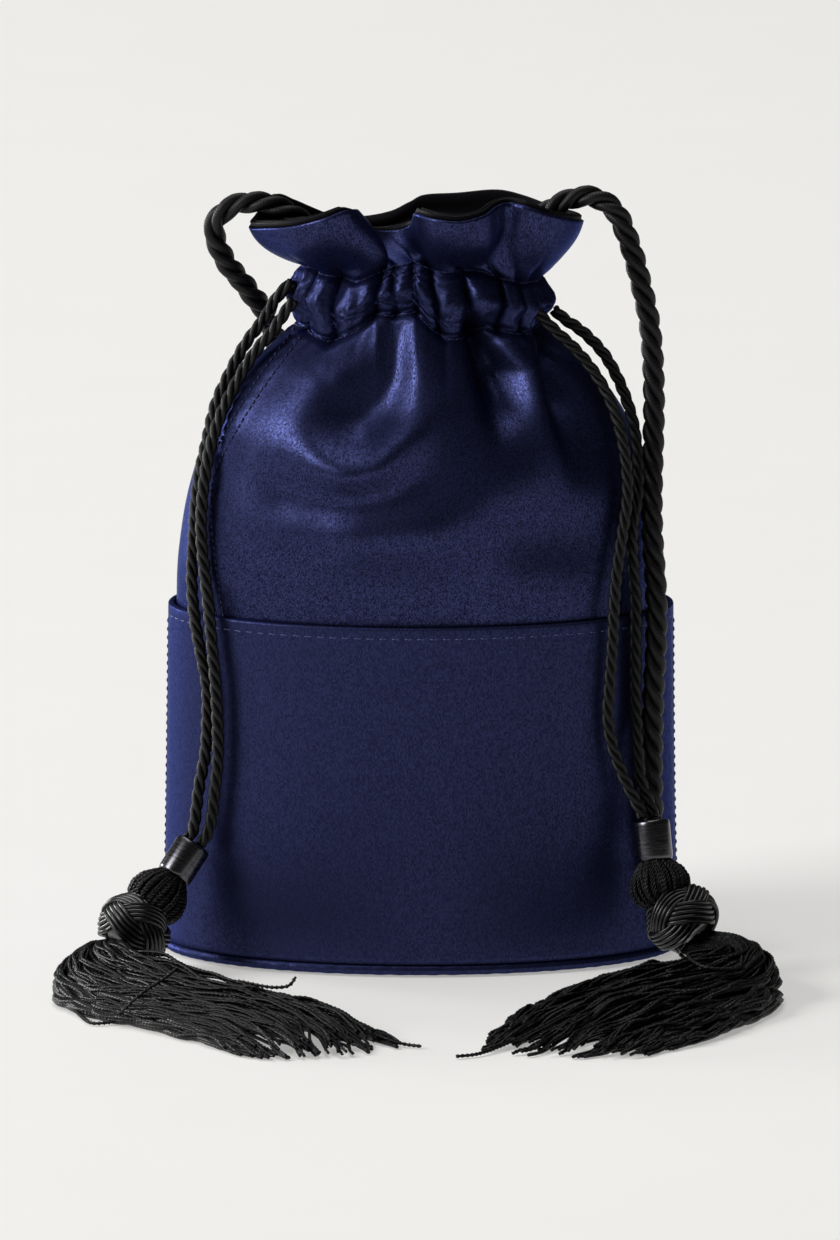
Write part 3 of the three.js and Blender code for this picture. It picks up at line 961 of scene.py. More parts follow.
@dataclass
class Pouch:
    """Soft satin upper: a straight tube of cloth, gathered in a stitched casing under a lined frill.

    Its form is a smooth oval body, moved inward by drapes and pleats, with the cloth spread evenly round it.
    """

    # Height, half width and half depth of the pouch, from the tuck inside the bucket to the rim.
    sections: tuple[Point, ...] = (
        (106, 81.0, 43.9), (119, 81.4, 44.2), (136, 80.6, 46.4), (158, 76.8, 46.4), (181, 68.5, 41.0),
        (199, 56.0, 31.5), (213, 43.0, 22.0), (223, 45.0, 24.0), (233, 41.5, 21.0), (244, 47.5, 26.0),
        (253, 53.5, 31.0),
    )
    drapes: tuple[Drape, ...] = (
        # The bowl left of the middle: deepest beside the middle pleat, with a slow slope on its left.
        Drape(
            (
                (-7.5, 214, 2, 5), (-8.5, 207, 3.8, 6), (-9.5, 199, 4.8, 7), (-14, 191, 5.8, 8),
                (-21, 185, 5.8, 8),
            ),
            2.2,
            0.9,
        ),
        Drape(((-26, 211, -3, 8), (-30, 200, -5, 9), (-37, 188, -3, 10))),
        Drape(((1, 212, -1, 5), (0.5, 204, -1.4, 6), (-1, 196, -1, 6))),
        Drape(((7, 212, -1, 6), (8, 203, -2.5, 7), (9, 194, -2, 8))),
        # The swag under the bowl runs from the left shoulder up to the middle pleat.
        Drape(
            (
                (-60, 184, -1.2, 12), (-48, 182, -2, 13), (-38, 177, -3, 11), (-31, 172, -5.2, 9),
                (-24, 169.5, -6.6, 7.5), (-14, 172, -6.4, 7.5), (-5, 181, -4.6, 7), (4, 190, -1.5, 8),
            )
        ),
        # The pocket right of the middle pleat, with its small tuck.
        Drape(
            (
                (16.5, 213, 9, 3.5), (19, 206, 12, 4.5), (21.5, 198, 13, 5.5), (24, 191, 9, 6),
                (27, 185, 4, 7),
            ),
            0.6,
            1.2,
        ),
        Drape(((25, 208, 5, 4), (28.5, 200, 8, 5), (30, 193, 6, 5.5))),
        Drape(((27, 208, -4, 3), (31, 204, -4, 3))),
        # The right ridge and the long valley beyond it.
        Drape(((33, 210, -1.5, 4), (37, 200, -2.4, 4), (42, 184, -2.2, 5), (47, 173, -1, 7))),
        Drape(((40.5, 212, 6, 3.5), (43, 200, 12, 5), (47, 188, 13, 7), (52, 176, 5, 9)), 0.5, 1.5),
        Drape(((46, 208, -2, 4), (56, 191, -3, 6), (61, 177, -1.5, 7))),
        # Slow dents of the belly.
        Drape(((-46, 160, 2.4, 8), (-24, 159, 2.8, 8), (0, 163, 2, 10))),
        Drape(((-22, 149, -3, 11), (0, 152, -2.4, 11))),
        Drape(((34, 150, 3, 14), (50, 147, 3, 14))),
        Drape(((2, 146, -1.4, 12), (26, 161, -1.8, 11))),
        Drape(((-24, 130, 1.8, 11), (10, 128, 2, 12))),
        # Soft hollows at the foot of the frill.
        Drape(((-24, 235, 4, 5), (-30, 239, 3.5, 6))),
        Drape(((19, 235, 5, 5), (25, 238, 8, 5), (28.5, 243, 9, 4.5), (30, 248, 6, 4)), 0.7, 1.3),
        Drape(((36, 236, 2, 4), (38, 242, 1.5, 6))),
        # The back repeats such folds in another order.
        Drape(((8, 214, 5, 4), (12, 203, 7, 7), (18, 190, 5, 12)), 0.8, 1.5, Face.BACK),
        Drape(((-18, 212, 5, 4), (-22, 200, 7, 7), (-26, 186, 4, 9)), 1.4, 0.8, Face.BACK),
        Drape(((-38, 210, 3, 4), (-46, 196, 6, 7), (-52, 178, 3, 9)), 1.0, 1.0, Face.BACK),
        Drape(((36, 210, 3, 4), (44, 196, 6, 7), (52, 180, 3, 9)), 1.0, 1.0, Face.BACK),
        Drape(((-2, 212, -1, 4), (-4, 198, -2, 7), (-4, 184, -1, 9)), 1.0, 1.0, Face.BACK),
        Drape(((40, 172, -2, 8), (18, 172, -3, 8), (-6, 176, -3, 8), (-30, 172, -1, 9)), 1, 1, Face.BACK),
    )
    # X and Z down the felled side seam, which the gathers draw round to the front.
    seam_route: tuple[tuple[float, float], ...] = (
        (-40, 212), (-54, 194), (-65, 176), (-70.5, 163), (-71, 150), (-69.5, 135), (-67, 118),
    )
    seam_rise: float = 1.3
    seam_spread: float = 2.6
    seam_rows: tuple[float, float] = (-1.2, 1.6)
    stitch_pitch: float = 2.3
    # Length, half thickness and lift of the stitches of the seam and of the casing.
    seam_stitch: Point = (1.656, 0.3, 0.1)
    row_stitch: Point = (2.3, 0.24, 0.15)
    # X of each valley between the casing's puffs, at its lower and at its upper stitch row.
    front_valleys: tuple[tuple[float, float], ...] = (
        (-41, -40), (-30.5, -31), (-16, -14), (-9, -10.5), (-1.5, -3),
        (6, 3), (17.5, 15.5), (28, 30), (35.5, 36.5), (42.5, 41),
    )
    back_valleys: tuple[tuple[float, float], ...] = (
        (37, 38), (28, 25), (17, 18), (10, 8), (-3, -2), (-12, -9), (-20, -23), (-31, -30), (-38, -38),
    )
    # X, and rise of the lower and of the upper stitch row over their even heights.
    front_rise: tuple[Point, ...] = (
        (-48, 0, -1), (-40, -1, -1), (-30, -4, -3), (-22, 0, -4), (-15, 6, -1), (-9, 5.5, 1.5), (-2, 7, 3),
        (3, 2, 0.5), (8, -2, -0.3), (16, -2, -0.3), (22, 1, -1), (28, -0.5, -3.5), (35, -2, -5.5),
        (44, -2.5, -6.5),
    )
    back_rise: tuple[Point, ...] = (
        (-48, 0, -1), (-30, -2, -2), (-14, 4, 1), (2, 1, 2), (18, -2, 0), (34, 1, -3), (46, 0, -4),
    )
    # The frill's rim, from the middle of the back round by the left end.
    rim: tuple[Point, ...] = (
        (0, 29, 247.8), (-4, 28, 245.5), (-9, 27.5, 242.5), (-20, 28, 240), (-30, 24, 241.5),
        (-38, 20.5, 245.5), (-44, 16.5, 249), (-50, 11, 252), (-55.5, 4, 246), (-57, -5, 245),
        (-51, -17, 247), (-42, -27, 249.5), (-32, -32, 253), (-25, -31, 255.5), (-21.5, -25, 255),
        (-20, -15, 252), (-17.5, -7, 245.5), (-11, -4.5, 244), (-4.5, -8, 246), (-2.5, -17, 252),
        (-1.5, -26, 253.5), (4, -33, 253), (13, -35, 252.5), (21, -32, 254), (25.5, -25, 256),
        (29, -21.5, 256.5), (35, -24, 255.5), (43, -22, 252.5), (50, -14, 249.5), (54, -3, 247),
        (52, 9, 246), (43, 20, 246.5), (34, 25, 249), (26, 27, 250.5), (12, 28.5, 249),
    )
    # Height, half width and half depth of the lining's plain well, downwards from the neck.
    well: tuple[Point, ...] = (
        (236, 31, 9.5), (226, 29, 6), (208, 28, 5), (195, 34, 8), (175, 52, 22), (150, 70, 34),
        (118, 77, 40), (60, 77, 40), (8, 77, 40),
    )
    # Distance inward and upward of the lining's hem at the rim, over both of its edges.
    hem: tuple[tuple[float, float], ...] = (
        (1.1, 0.0), (1.1, 1.5), (1.3, 2.4), (1.7, 2.6), (2.1, 1.9), (2.4, 1.2), (2.7, 1.9), (3.1, 2.5),
        (3.4, 2.0), (3.5, 0.6), (3.4, -1.5),
    )
    # Half width and half depth of the ovals that the columns of the lining and of the frill are spread on.
    well_plan: tuple[float, float] = (40.0, 20.0)
    neck: tuple[float, float] = (41.5, 21.0)
    lining_rows: int = 34
    lining_gap: float = 2.6
    lining_thick: float = 0.6
    lip_z: float = 117.5
    rise_from_z: float = 182.0
    gather_from_z: float = 210.5
    gather_over: float = 2.5
    lower_row_z: float = 213.0
    upper_row_z: float = 233.0
    frill_bulge: Point = (0.85, 0.85, 0.3)
    frill_rows: int = 25
    # X and Y of the rim where a lobe's side leans out, how far, and over what distance.
    lobe_lean: tuple[float, float, float, float] = (-22, -20, 13, 11)
    puff_share: float = 0.52
    puff_most: float = 6.2
    creases: int = 9
    crease_depth: float = 0.11
    crease_reach: float = 14.0
    stitch_groove: float = 1.8
    groove_spread: float = 1.3
    cloth_round: float = 410.0
    thick: float = 0.9
    columns: int = 360
    fine_columns: int = 1500
    casing_rows: int = 21

    def envelope(self, z: Array) -> tuple[Array, Array]:
        """Smooth half sizes at a height: a cubic through the sections, each slope that of its neighbours.

        Args:
            z: heights.

        Returns:
            Half widths and half depths.
        """
        rows = np.array(self.sections, dtype=float)
        padded = np.concatenate([rows[:1], rows, rows[-1:]])
        share = np.linspace(0, 1, 20, endpoint=False)[None, :, None]
        a, b, c, d = (padded[i : len(rows) - 1 + i, None] for i in range(4))
        slope_b, slope_c = (c - a) / 2, (d - b) / 2
        s2, s3 = share**2, share**3
        line = (2 * s3 - 3 * s2 + 1) * b + (s3 - 2 * s2 + share) * slope_b
        line = line + (3 * s2 - 2 * s3) * c + (s3 - s2) * slope_c
        line = np.concatenate([line.reshape(-1, 3), rows[-1:]])
        return np.interp(z, line[:, 0], line[:, 1]), np.interp(z, line[:, 0], line[:, 2])

    def puffs(self, angle: Array, share_up: float) -> Array:
        """Depth of the casing under its puffs: between two valleys the cloth stands out as half a circle.

        Args:
            angle: plan angles from a quarter turn up to five quarters.
            share_up: height in the casing, 0 at the lower stitch row and 1 at the upper.

        Returns:
            Distances inward, nought on a puff's top.
        """
        half_width, half_depth = self.envelope(np.array(0.5 * (self.lower_row_z + self.upper_row_z)))
        level = np.array([1 - share_up, share_up])
        front = 2 * np.pi - np.arccos(np.array(self.front_valleys) @ level / half_width)
        back = np.arccos(np.array(self.back_valleys) @ level / half_width)
        back = np.where(back < 0.5 * np.pi, back + 2 * np.pi, back)
        valleys = np.sort(np.concatenate([front, back]))
        valleys = np.concatenate([valleys[-1:] - 2 * np.pi, valleys, valleys[:1] + 2 * np.pi])
        right = np.clip(np.searchsorted(valleys, angle), 1, len(valleys) - 1)
        width = valleys[right] - valleys[right - 1]
        share = (angle - valleys[right - 1]) / width
        reach = np.hypot(half_width * np.sin(angle), half_depth * np.cos(angle))
        most = np.minimum(self.puff_share * width * reach, self.puff_most)
        return most * (1 - np.sqrt(np.clip(1 - (2 * share - 1) ** 2, 0, 1)))

    def crumple(self, angle: Array, z: Array) -> Array:
        """Small creases of the casing: slanted sine waves, strongest at its middle height.

        Args:
            angle: plan angles, in columns.
            z: heights, in rows.

        Returns:
            Distances inward, of both signs.
        """
        draw = np.random.default_rng(5)
        middle = 0.5 * (self.lower_row_z + self.upper_row_z)
        total = np.zeros(np.broadcast(angle, z).shape)
        for turns in draw.integers(16, 60, self.creases):
            total += np.sin(turns * angle + draw.uniform(-0.5, 0.5) * z + draw.uniform(0, 6.3))
        return self.crease_depth * total * np.exp(-(((z - middle) / self.crease_reach) ** 2))

    def rise(self, x: Array, y: Array, column: int) -> Array:
        """Rise of a stitch row at points, read from the front and back tables.

        Args:
            x: X of the points.
            y: Y of the points.
            column: 1 for the lower row and 2 for the upper row.

        Returns:
            Distances upward.
        """
        front, back = np.array(self.front_rise), np.array(self.back_rise)
        ahead = np.interp(x, front[:, 0], front[:, column])
        behind = np.interp(x, back[:, 0], back[:, column])
        return behind + (ahead - behind) * facing(y, Face.FRONT)

    def seam(self) -> Drape:
        """The felled side seam, which stands out of the cloth along its route."""
        return Drape(tuple((x, z, -self.seam_rise, self.seam_spread) for x, z in self.seam_route))

    def rows(self) -> Array:
        """Shapes the satin from the tuck to the rim: an oval body, moved inward by puffs, creases and drapes.

        Returns:
            Its rows, shaped (rows, columns, 3).
        """
        levels = (
            np.linspace(self.sections[0][0], self.lip_z, 5)[:-1],
            np.linspace(self.lip_z, self.lower_row_z - 5, 58)[:-1],
            np.linspace(self.lower_row_z - 5, self.lower_row_z + 3, 12)[:-1],
            np.linspace(self.lower_row_z + 3, self.upper_row_z - 3, 12)[:-1],
            np.linspace(self.upper_row_z - 3, self.upper_row_z, 6),
        )
        z = np.concatenate(levels)[:, None]
        angle = np.linspace(0.5 * np.pi, 2.5 * np.pi, self.fine_columns, endpoint=False)[None]
        half_width, half_depth = self.envelope(z)
        x = half_width * np.cos(angle)
        y = half_depth * np.sin(angle)
        in_body = smooth((z - self.rise_from_z) / (self.lower_row_z - self.rise_from_z))
        in_casing = smooth((z - self.lower_row_z) / (self.upper_row_z - self.lower_row_z))
        low, high = self.rise(x, y, 1), self.rise(x, y, 2)
        height = z + low * in_body * (1 - in_casing) + high * in_casing
        gather = smooth((z - self.gather_from_z) / self.gather_over)
        inward = gather * np.stack([self.puffs(angle[0], share) for share in in_casing[:, 0]])
        for row_z in (self.lower_row_z, self.upper_row_z):
            inward = inward + self.stitch_groove * np.exp(-(((z - row_z) / self.groove_spread) ** 2))
        inward = inward + self.crumple(angle, z)
        for drape in (*self.drapes, self.seam()):
            inward = inward + drape.depth(x, y, height)
        plan = oval(angle, half_width, half_depth, inward)
        lower = self.spread(np.concatenate([plan, height[..., None]], axis=2))
        return np.concatenate([lower, self.frill(lower[-1])])

    def frill(self, foot: Array) -> Array:
        """Rows of the frill: each column is a parabola from its foot past a bulge to the rim.

        The bulge lies low and nearly as far out as the rim. What the pleats add to the foot's slow waves
        fades with the cube of the height.

        Args:
            foot: the cloth's row at the upper stitch row.

        Returns:
            Rows above the foot, up to the rim.
        """
        knots = np.array(self.rim, dtype=float)
        closed = np.concatenate([knots[-2:], knots, knots[:3]])
        line = spline(closed, 0.25)
        start = np.argmin(np.linalg.norm(line[: len(line) // 2] - knots[0], axis=1))
        stop = len(line) // 2 + np.argmin(np.linalg.norm(line[len(line) // 2 :] - knots[0], axis=1))
        rim = self.spread(line[None, start:stop])[0]
        waves = np.fft.rfft(foot, axis=0)
        waves[9:] = 0
        calm = np.fft.irfft(waves, n=self.columns, axis=0)
        bulge = calm + (rim - calm) * np.array(self.frill_bulge)
        lean_x, lean_y, lean, spread = self.lobe_lean
        bulge[:, 0] += lean * np.exp(-((rim[:, 0] - lean_x) ** 2 + (rim[:, 1] - lean_y) ** 2) / spread**2)
        up = np.linspace(0, 1, self.frill_rows + 1)[1:, None, None]
        rows = (1 - up) ** 2 * calm + 2 * up * (1 - up) * bulge + up**2 * rim
        rows = rows + (1 - up) ** 3 * (foot - calm)
        inward = sum(drape.depth(rows[..., 0], rows[..., 1], rows[..., 2]) for drape in self.drapes)
        wide, deep = self.neck
        angle = even_angles(wide, deep, self.columns)
        away = unit(np.stack([np.cos(angle) / wide, np.sin(angle) / deep, angle * 0], axis=-1))
        fade = (1 - up[..., 0]) * smooth(up[..., 0] * 4)
        return rows - away * (inward * fade)[..., None]

    def spread(self, rings: Array) -> Array:
        """Spreads the cloth evenly round each ring, so that no column of threads is stretched.

        Args:
            rings: finely drawn rings, shaped (rows, samples, 3), open at their end.

        Returns:
            Rings shaped (rows, columns, 3).
        """
        stops = np.arange(self.columns) / self.columns
        made = []
        for ring in np.concatenate([rings, rings[:, :1]], axis=1):
            walked = walk_along(ring)
            made.append(read_at(stops * walked[-1], walked, ring))
        return np.stack(made)

    def build(self, satin: Material, lining: Material, thread: Material) -> None:
        """Builds the satin and its lining.

        Args:
            satin: finish of the pouch.
            lining: finish of the lining.
            thread: finish of the stitches.
        """
        rows = self.rows()
        along = walk_up(rows)
        around = np.linspace(0, self.cloth_round, self.columns + 1)
        shape = lofted(rows[None], along[None], around, capped=False, cloth=True)
        piece = shape.piece("pouch_satin", satin, Slot.SATIN_POUCH, ("pouch",))
        thicken(piece, self.thick, -1.0)
        sewn = joined([self.seam_stitches(rows), self.row_stitches(rows)])
        sewn.piece("pouch_stitches", thread, Slot.SATIN_POUCH)
        self.line_frill(rows, lining)

    def seam_stitches(self, rows: Array) -> Shape:
        """Two rows of stitches down the felled side seam.

        Each is found by X and Z: the nearest point of the cloth's grid, moved in its tangent plane.

        Args:
            rows: rows of the satin.

        Returns:
            The stitches.
        """
        route = np.array([(x, z, 0.0) for x, z in self.seam_route])
        line = spline(route, self.stitch_pitch)
        ahead = unit(np.gradient(line, axis=0))
        beside = np.stack([-ahead[:, 1], ahead[:, 0]], axis=1)
        wanted = np.concatenate([line[:, :2] + beside * offset for offset in self.seam_rows])
        around = (np.roll(rows, -1, axis=1) - np.roll(rows, 1, axis=1)).reshape(-1, 3)
        upward = np.gradient(rows, axis=0).reshape(-1, 3)
        grid = rows.reshape(-1, 3)
        behind = np.where(grid[:, 1] > 0, 1e6, 0.0)
        away = (grid[:, 0] - wanted[:, :1]) ** 2 + (grid[:, 2] - wanted[:, 1:]) ** 2 + behind
        near = np.argmin(away, axis=1)
        sides = np.stack([around[near][:, ::2], upward[near][:, ::2]], axis=-1)
        shift = np.linalg.solve(sides, (wanted - grid[near][:, ::2])[..., None])
        at = grid[near] + around[near] * shift[:, 0] + upward[near] * shift[:, 1]
        out = unit(np.cross(around[near], upward[near]))
        along = unit(np.gradient(at.reshape(2, -1, 3), axis=1)).reshape(-1, 3)
        length, radius, lift = self.seam_stitch
        return stitches(at + out * lift, along, out, length, radius)

    def row_stitches(self, rows: Array) -> Shape:
        """Stitches along both rows of the casing, one to every third column of the cloth.

        Args:
            rows: rows of the satin.

        Returns:
            The stitches.
        """
        made = []
        upper = -1 - self.frill_rows
        length, radius, lift = self.row_stitch
        for row in (upper - self.casing_rows, upper):
            here = rows[row, ::3]
            ahead = unit(np.roll(rows[row], -1, axis=0) - np.roll(rows[row], 1, axis=0))[::3]
            out = unit(np.cross(ahead, (rows[row + 1] - rows[row - 1])[::3]))
            made.append(stitches(here + out * lift, ahead, out, length, radius))
        return joined(made)

    def line_frill(self, rows: Array, finish: Material) -> None:
        """Builds the black lining: the frill's rows moved inward, a double hem at the rim and a plain well.

        Args:
            rows: rows of the satin.
            finish: finish of the lining.
        """
        frill = rows[-self.lining_rows :: 2]
        around = np.roll(frill, -1, axis=1) - np.roll(frill, 1, axis=1)
        upward = np.gradient(frill, axis=0)
        inward = -unit(np.cross(around, upward))
        rim, in_rim, up_rim = frill[-1:], inward[-1:], unit(upward[-1:])
        hem_in, hem_up = np.array(self.hem).T[..., None, None]
        hem = rim + in_rim * hem_in + up_rim * hem_up
        inside = (frill + inward * self.lining_gap)[-3:-8:-2]
        angle = even_angles(*self.well_plan, self.columns)[None]
        z, half_width, half_depth = np.array(self.well, dtype=float).T[..., None]
        plan = oval(angle, half_width, half_depth)
        cloth = np.concatenate([hem, inside, raised(plan, z[:, 0])])[::-1]
        along = walk_up(cloth)
        closed = np.concatenate([plan, plan[:, :1]], axis=1)
        girth = float(np.linalg.norm(np.diff(closed, axis=1), axis=2).sum(axis=1).max())
        shape = lofted(cloth[None], along[None], np.linspace(0, girth, self.columns + 1), False, True)
        piece = shape.piece("lining_cloth", finish, Slot.LINING, ("lining",))
        thicken(piece, self.lining_thick, 1.0)


@dataclass
class Rope:
    """Twisted cord: three strands that wind round the route, each a tube on its own helix."""

    name: str
    node: str
    route: tuple[Point, ...]
    diameter: float = 4.2
    pitch: float = 14.7
    strands: int = 3
    sides: int = 8
    spacing: float = 0.6
    lay: Lay = Lay.S
    guide: Point = (1.0, 1.0, 1.0)
    # Distance of a strand's middle from the route, and half its thickness, as shares of the diameter.
    strand_reach: float = 0.262
    strand_half: float = 0.242

    def line(self) -> Array:
        """Centreline of the rope, at even spacing."""
        return spline(np.array(self.route, dtype=float), self.spacing)

    def length(self) -> float:
        """Length of the centreline."""
        return float(np.linalg.norm(np.diff(self.line(), axis=0), axis=1).sum())

    def shape(self) -> Shape:
        """Winds the strands: centre = route + reach (first cos a + second sin a), a growing with distance.

        Returns:
            The strands as one shape.
        """
        line = self.line()
        start = np.arange(self.strands) * 2 * np.pi / self.strands
        walked = np.arange(len(line)) * self.spacing
        angle = start[:, None] + self.lay.value * 2 * np.pi * walked / self.pitch
        out = swung(*crosswise(line, self.guide), angle)
        centres = line + out * self.strand_reach * self.diameter
        return tubes_along(centres, self.strand_half * self.diameter, self.sides, out)

    def build(self, finish: Material, far_end: str, with_pieces: tuple[str, ...] = ()) -> None:
        """Args:
            finish: finish of the thread.
            far_end: what its far end is; not used.
            with_pieces: pieces on its far end; not used.
        """
        piece = self.shape().piece(self.name, finish, Slot.CORD, (self.node,))
        self.length() * MM
        (self.line() * MM).tolist()
        log.info("%s is %.0f mm long", self.name, self.length())


DRAWCORD_ROUTES: dict[str, tuple[Point, ...]] = {
    "left_outer": (
        (-42.6, -5, 227), (-47.4, -4.8, 222), (-51.7, -4.2, 214.8), (-58.3, -3.5, 205.5),
        (-63.5, -4.5, 196), (-68, -8, 186.5), (-71, -13, 175), (-74, -17.5, 161),
        (-75.3, -20.5, 145), (-76, -22.5, 128.5), (-75, -26.5, 117), (-73, -29, 106),
        (-71, -30.2, 95), (-71, -31, 81), (-71.6, -31.2, 72), (-73.6, -31.4, 61.5),
        (-74.7, -32, 52.5), (-75.6, -33, 47), (-77.2, -34.2, 44.2),
    ),
    "left_inner": (
        (-42.2, -10.9, 221.8), (-45.2, -11.4, 217.5), (-49.2, -11.6, 211.5), (-54.8, -11, 204.5),
        (-60.5, -12, 195.5), (-65.5, -15.5, 186), (-69.5, -19.5, 175), (-72, -23, 161.5),
        (-72.8, -25.5, 146), (-71.3, -28, 129.5), (-70, -31.5, 118), (-69, -33.2, 107),
        (-68, -34.6, 95.5), (-67.4, -35, 82), (-67.4, -35, 70.5), (-68.7, -34.8, 58.5),
        (-69.6, -34.4, 50.5), (-70.9, -34.4, 46), (-73.2, -35.4, 42.2),
    ),
    "right_outer": (
        (44.2, -5, 217.5), (47.4, -4.6, 214.5), (53.7, -3.6, 209.8), (60.5, -3.2, 202.6),
        (65, -4.5, 195), (69, -8, 185.3), (71.3, -13, 175.5), (72, -21, 160),
        (70.2, -26.5, 148.5), (70.3, -28, 136), (71.3, -28.8, 124), (71.3, -30.3, 108.5),
        (71.3, -30.6, 92.5), (71.6, -31, 85.5), (72, -32.6, 74), (73.2, -34.2, 63),
        (75.8, -35.5, 56.6), (77.3, -36.5, 52),
    ),
    "right_inner": (
        (37.7, -10.4, 218.5), (44.6, -11.5, 211.5), (50.6, -11.7, 206), (57, -12, 198.3),
        (62.8, -15.5, 188.5), (66.8, -21, 176), (68.4, -26, 160.5), (66.6, -30.8, 146),
        (64.8, -33.5, 134), (64, -35.2, 122), (63.6, -35.8, 113), (62.6, -36.3, 97),
        (62, -36.7, 88.5), (62.3, -36.9, 82.5), (63.4, -37.2, 76.5), (66, -37.8, 69),
        (69.3, -38.6, 61.5), (72.4, -39, 55.5), (73.8, -39.3, 52.4),
    ),
}

HANDLE_ROUTE: tuple[Point, ...] = (
    (31.4, 2, 236), (35, 2, 243), (41.5, 2, 249), (48, 1.5, 252.9), (54, 1, 254.6),
    (60, 0.5, 253.4), (65, 0, 249), (67.8, -0.5, 243), (70.3, -1, 236), (73.3, -2, 224.6),
    (75.8, -3, 213), (77, -5, 201), (77.4, -7, 188), (77.2, -10, 176), (76.8, -14, 165),
    (76.6, -19, 153), (77, -22, 141), (77.8, -23.5, 130), (78.2, -26, 118), (78, -27, 107),
    (77.4, -27.6, 96), (77, -27.6, 84), (76.8, -27.4, 72), (76.8, -27.4, 61), (77.2, -27, 50),
    (79, -26.2, 38), (82.4, -24.4, 26), (87.2, -19.4, 13.5), (90.8, -9.5, 6), (91.2, 4, 4.2),
    (85.6, 20.6, 4), (70.6, 35.4, 4), (50, 46.4, 4), (30, 51.8, 4), (12, 54.2, 4.8),
    (-2, 53.2, 12), (-10, 52.6, 28), (-16, 52.2, 55), (-22, 51.4, 90), (-28, 50, 120),
    (-33, 49.2, 140), (-38, 47.4, 160), (-43, 40.8, 178), (-47, 31.8, 194), (-49.5, 23, 206),
    (-52.3, 15.5, 213.8), (-55.6, 12.5, 218.5), (-60, 10.5, 224.8), (-64, 8.5, 230), (-67, 7, 236),
    (-68.6, 5.5, 241.5), (-67.4, 4, 246.8), (-62.8, 3, 250.8), (-56, 2, 252.5), (-48.5, 1.5, 251.4),
    (-41.5, 2, 247.6), (-35, 2, 242), (-31.4, 2, 236),
)


# A direction that no strand on the floor takes.
UPRIGHT = np.array([0.05, 0.1, 1.0])


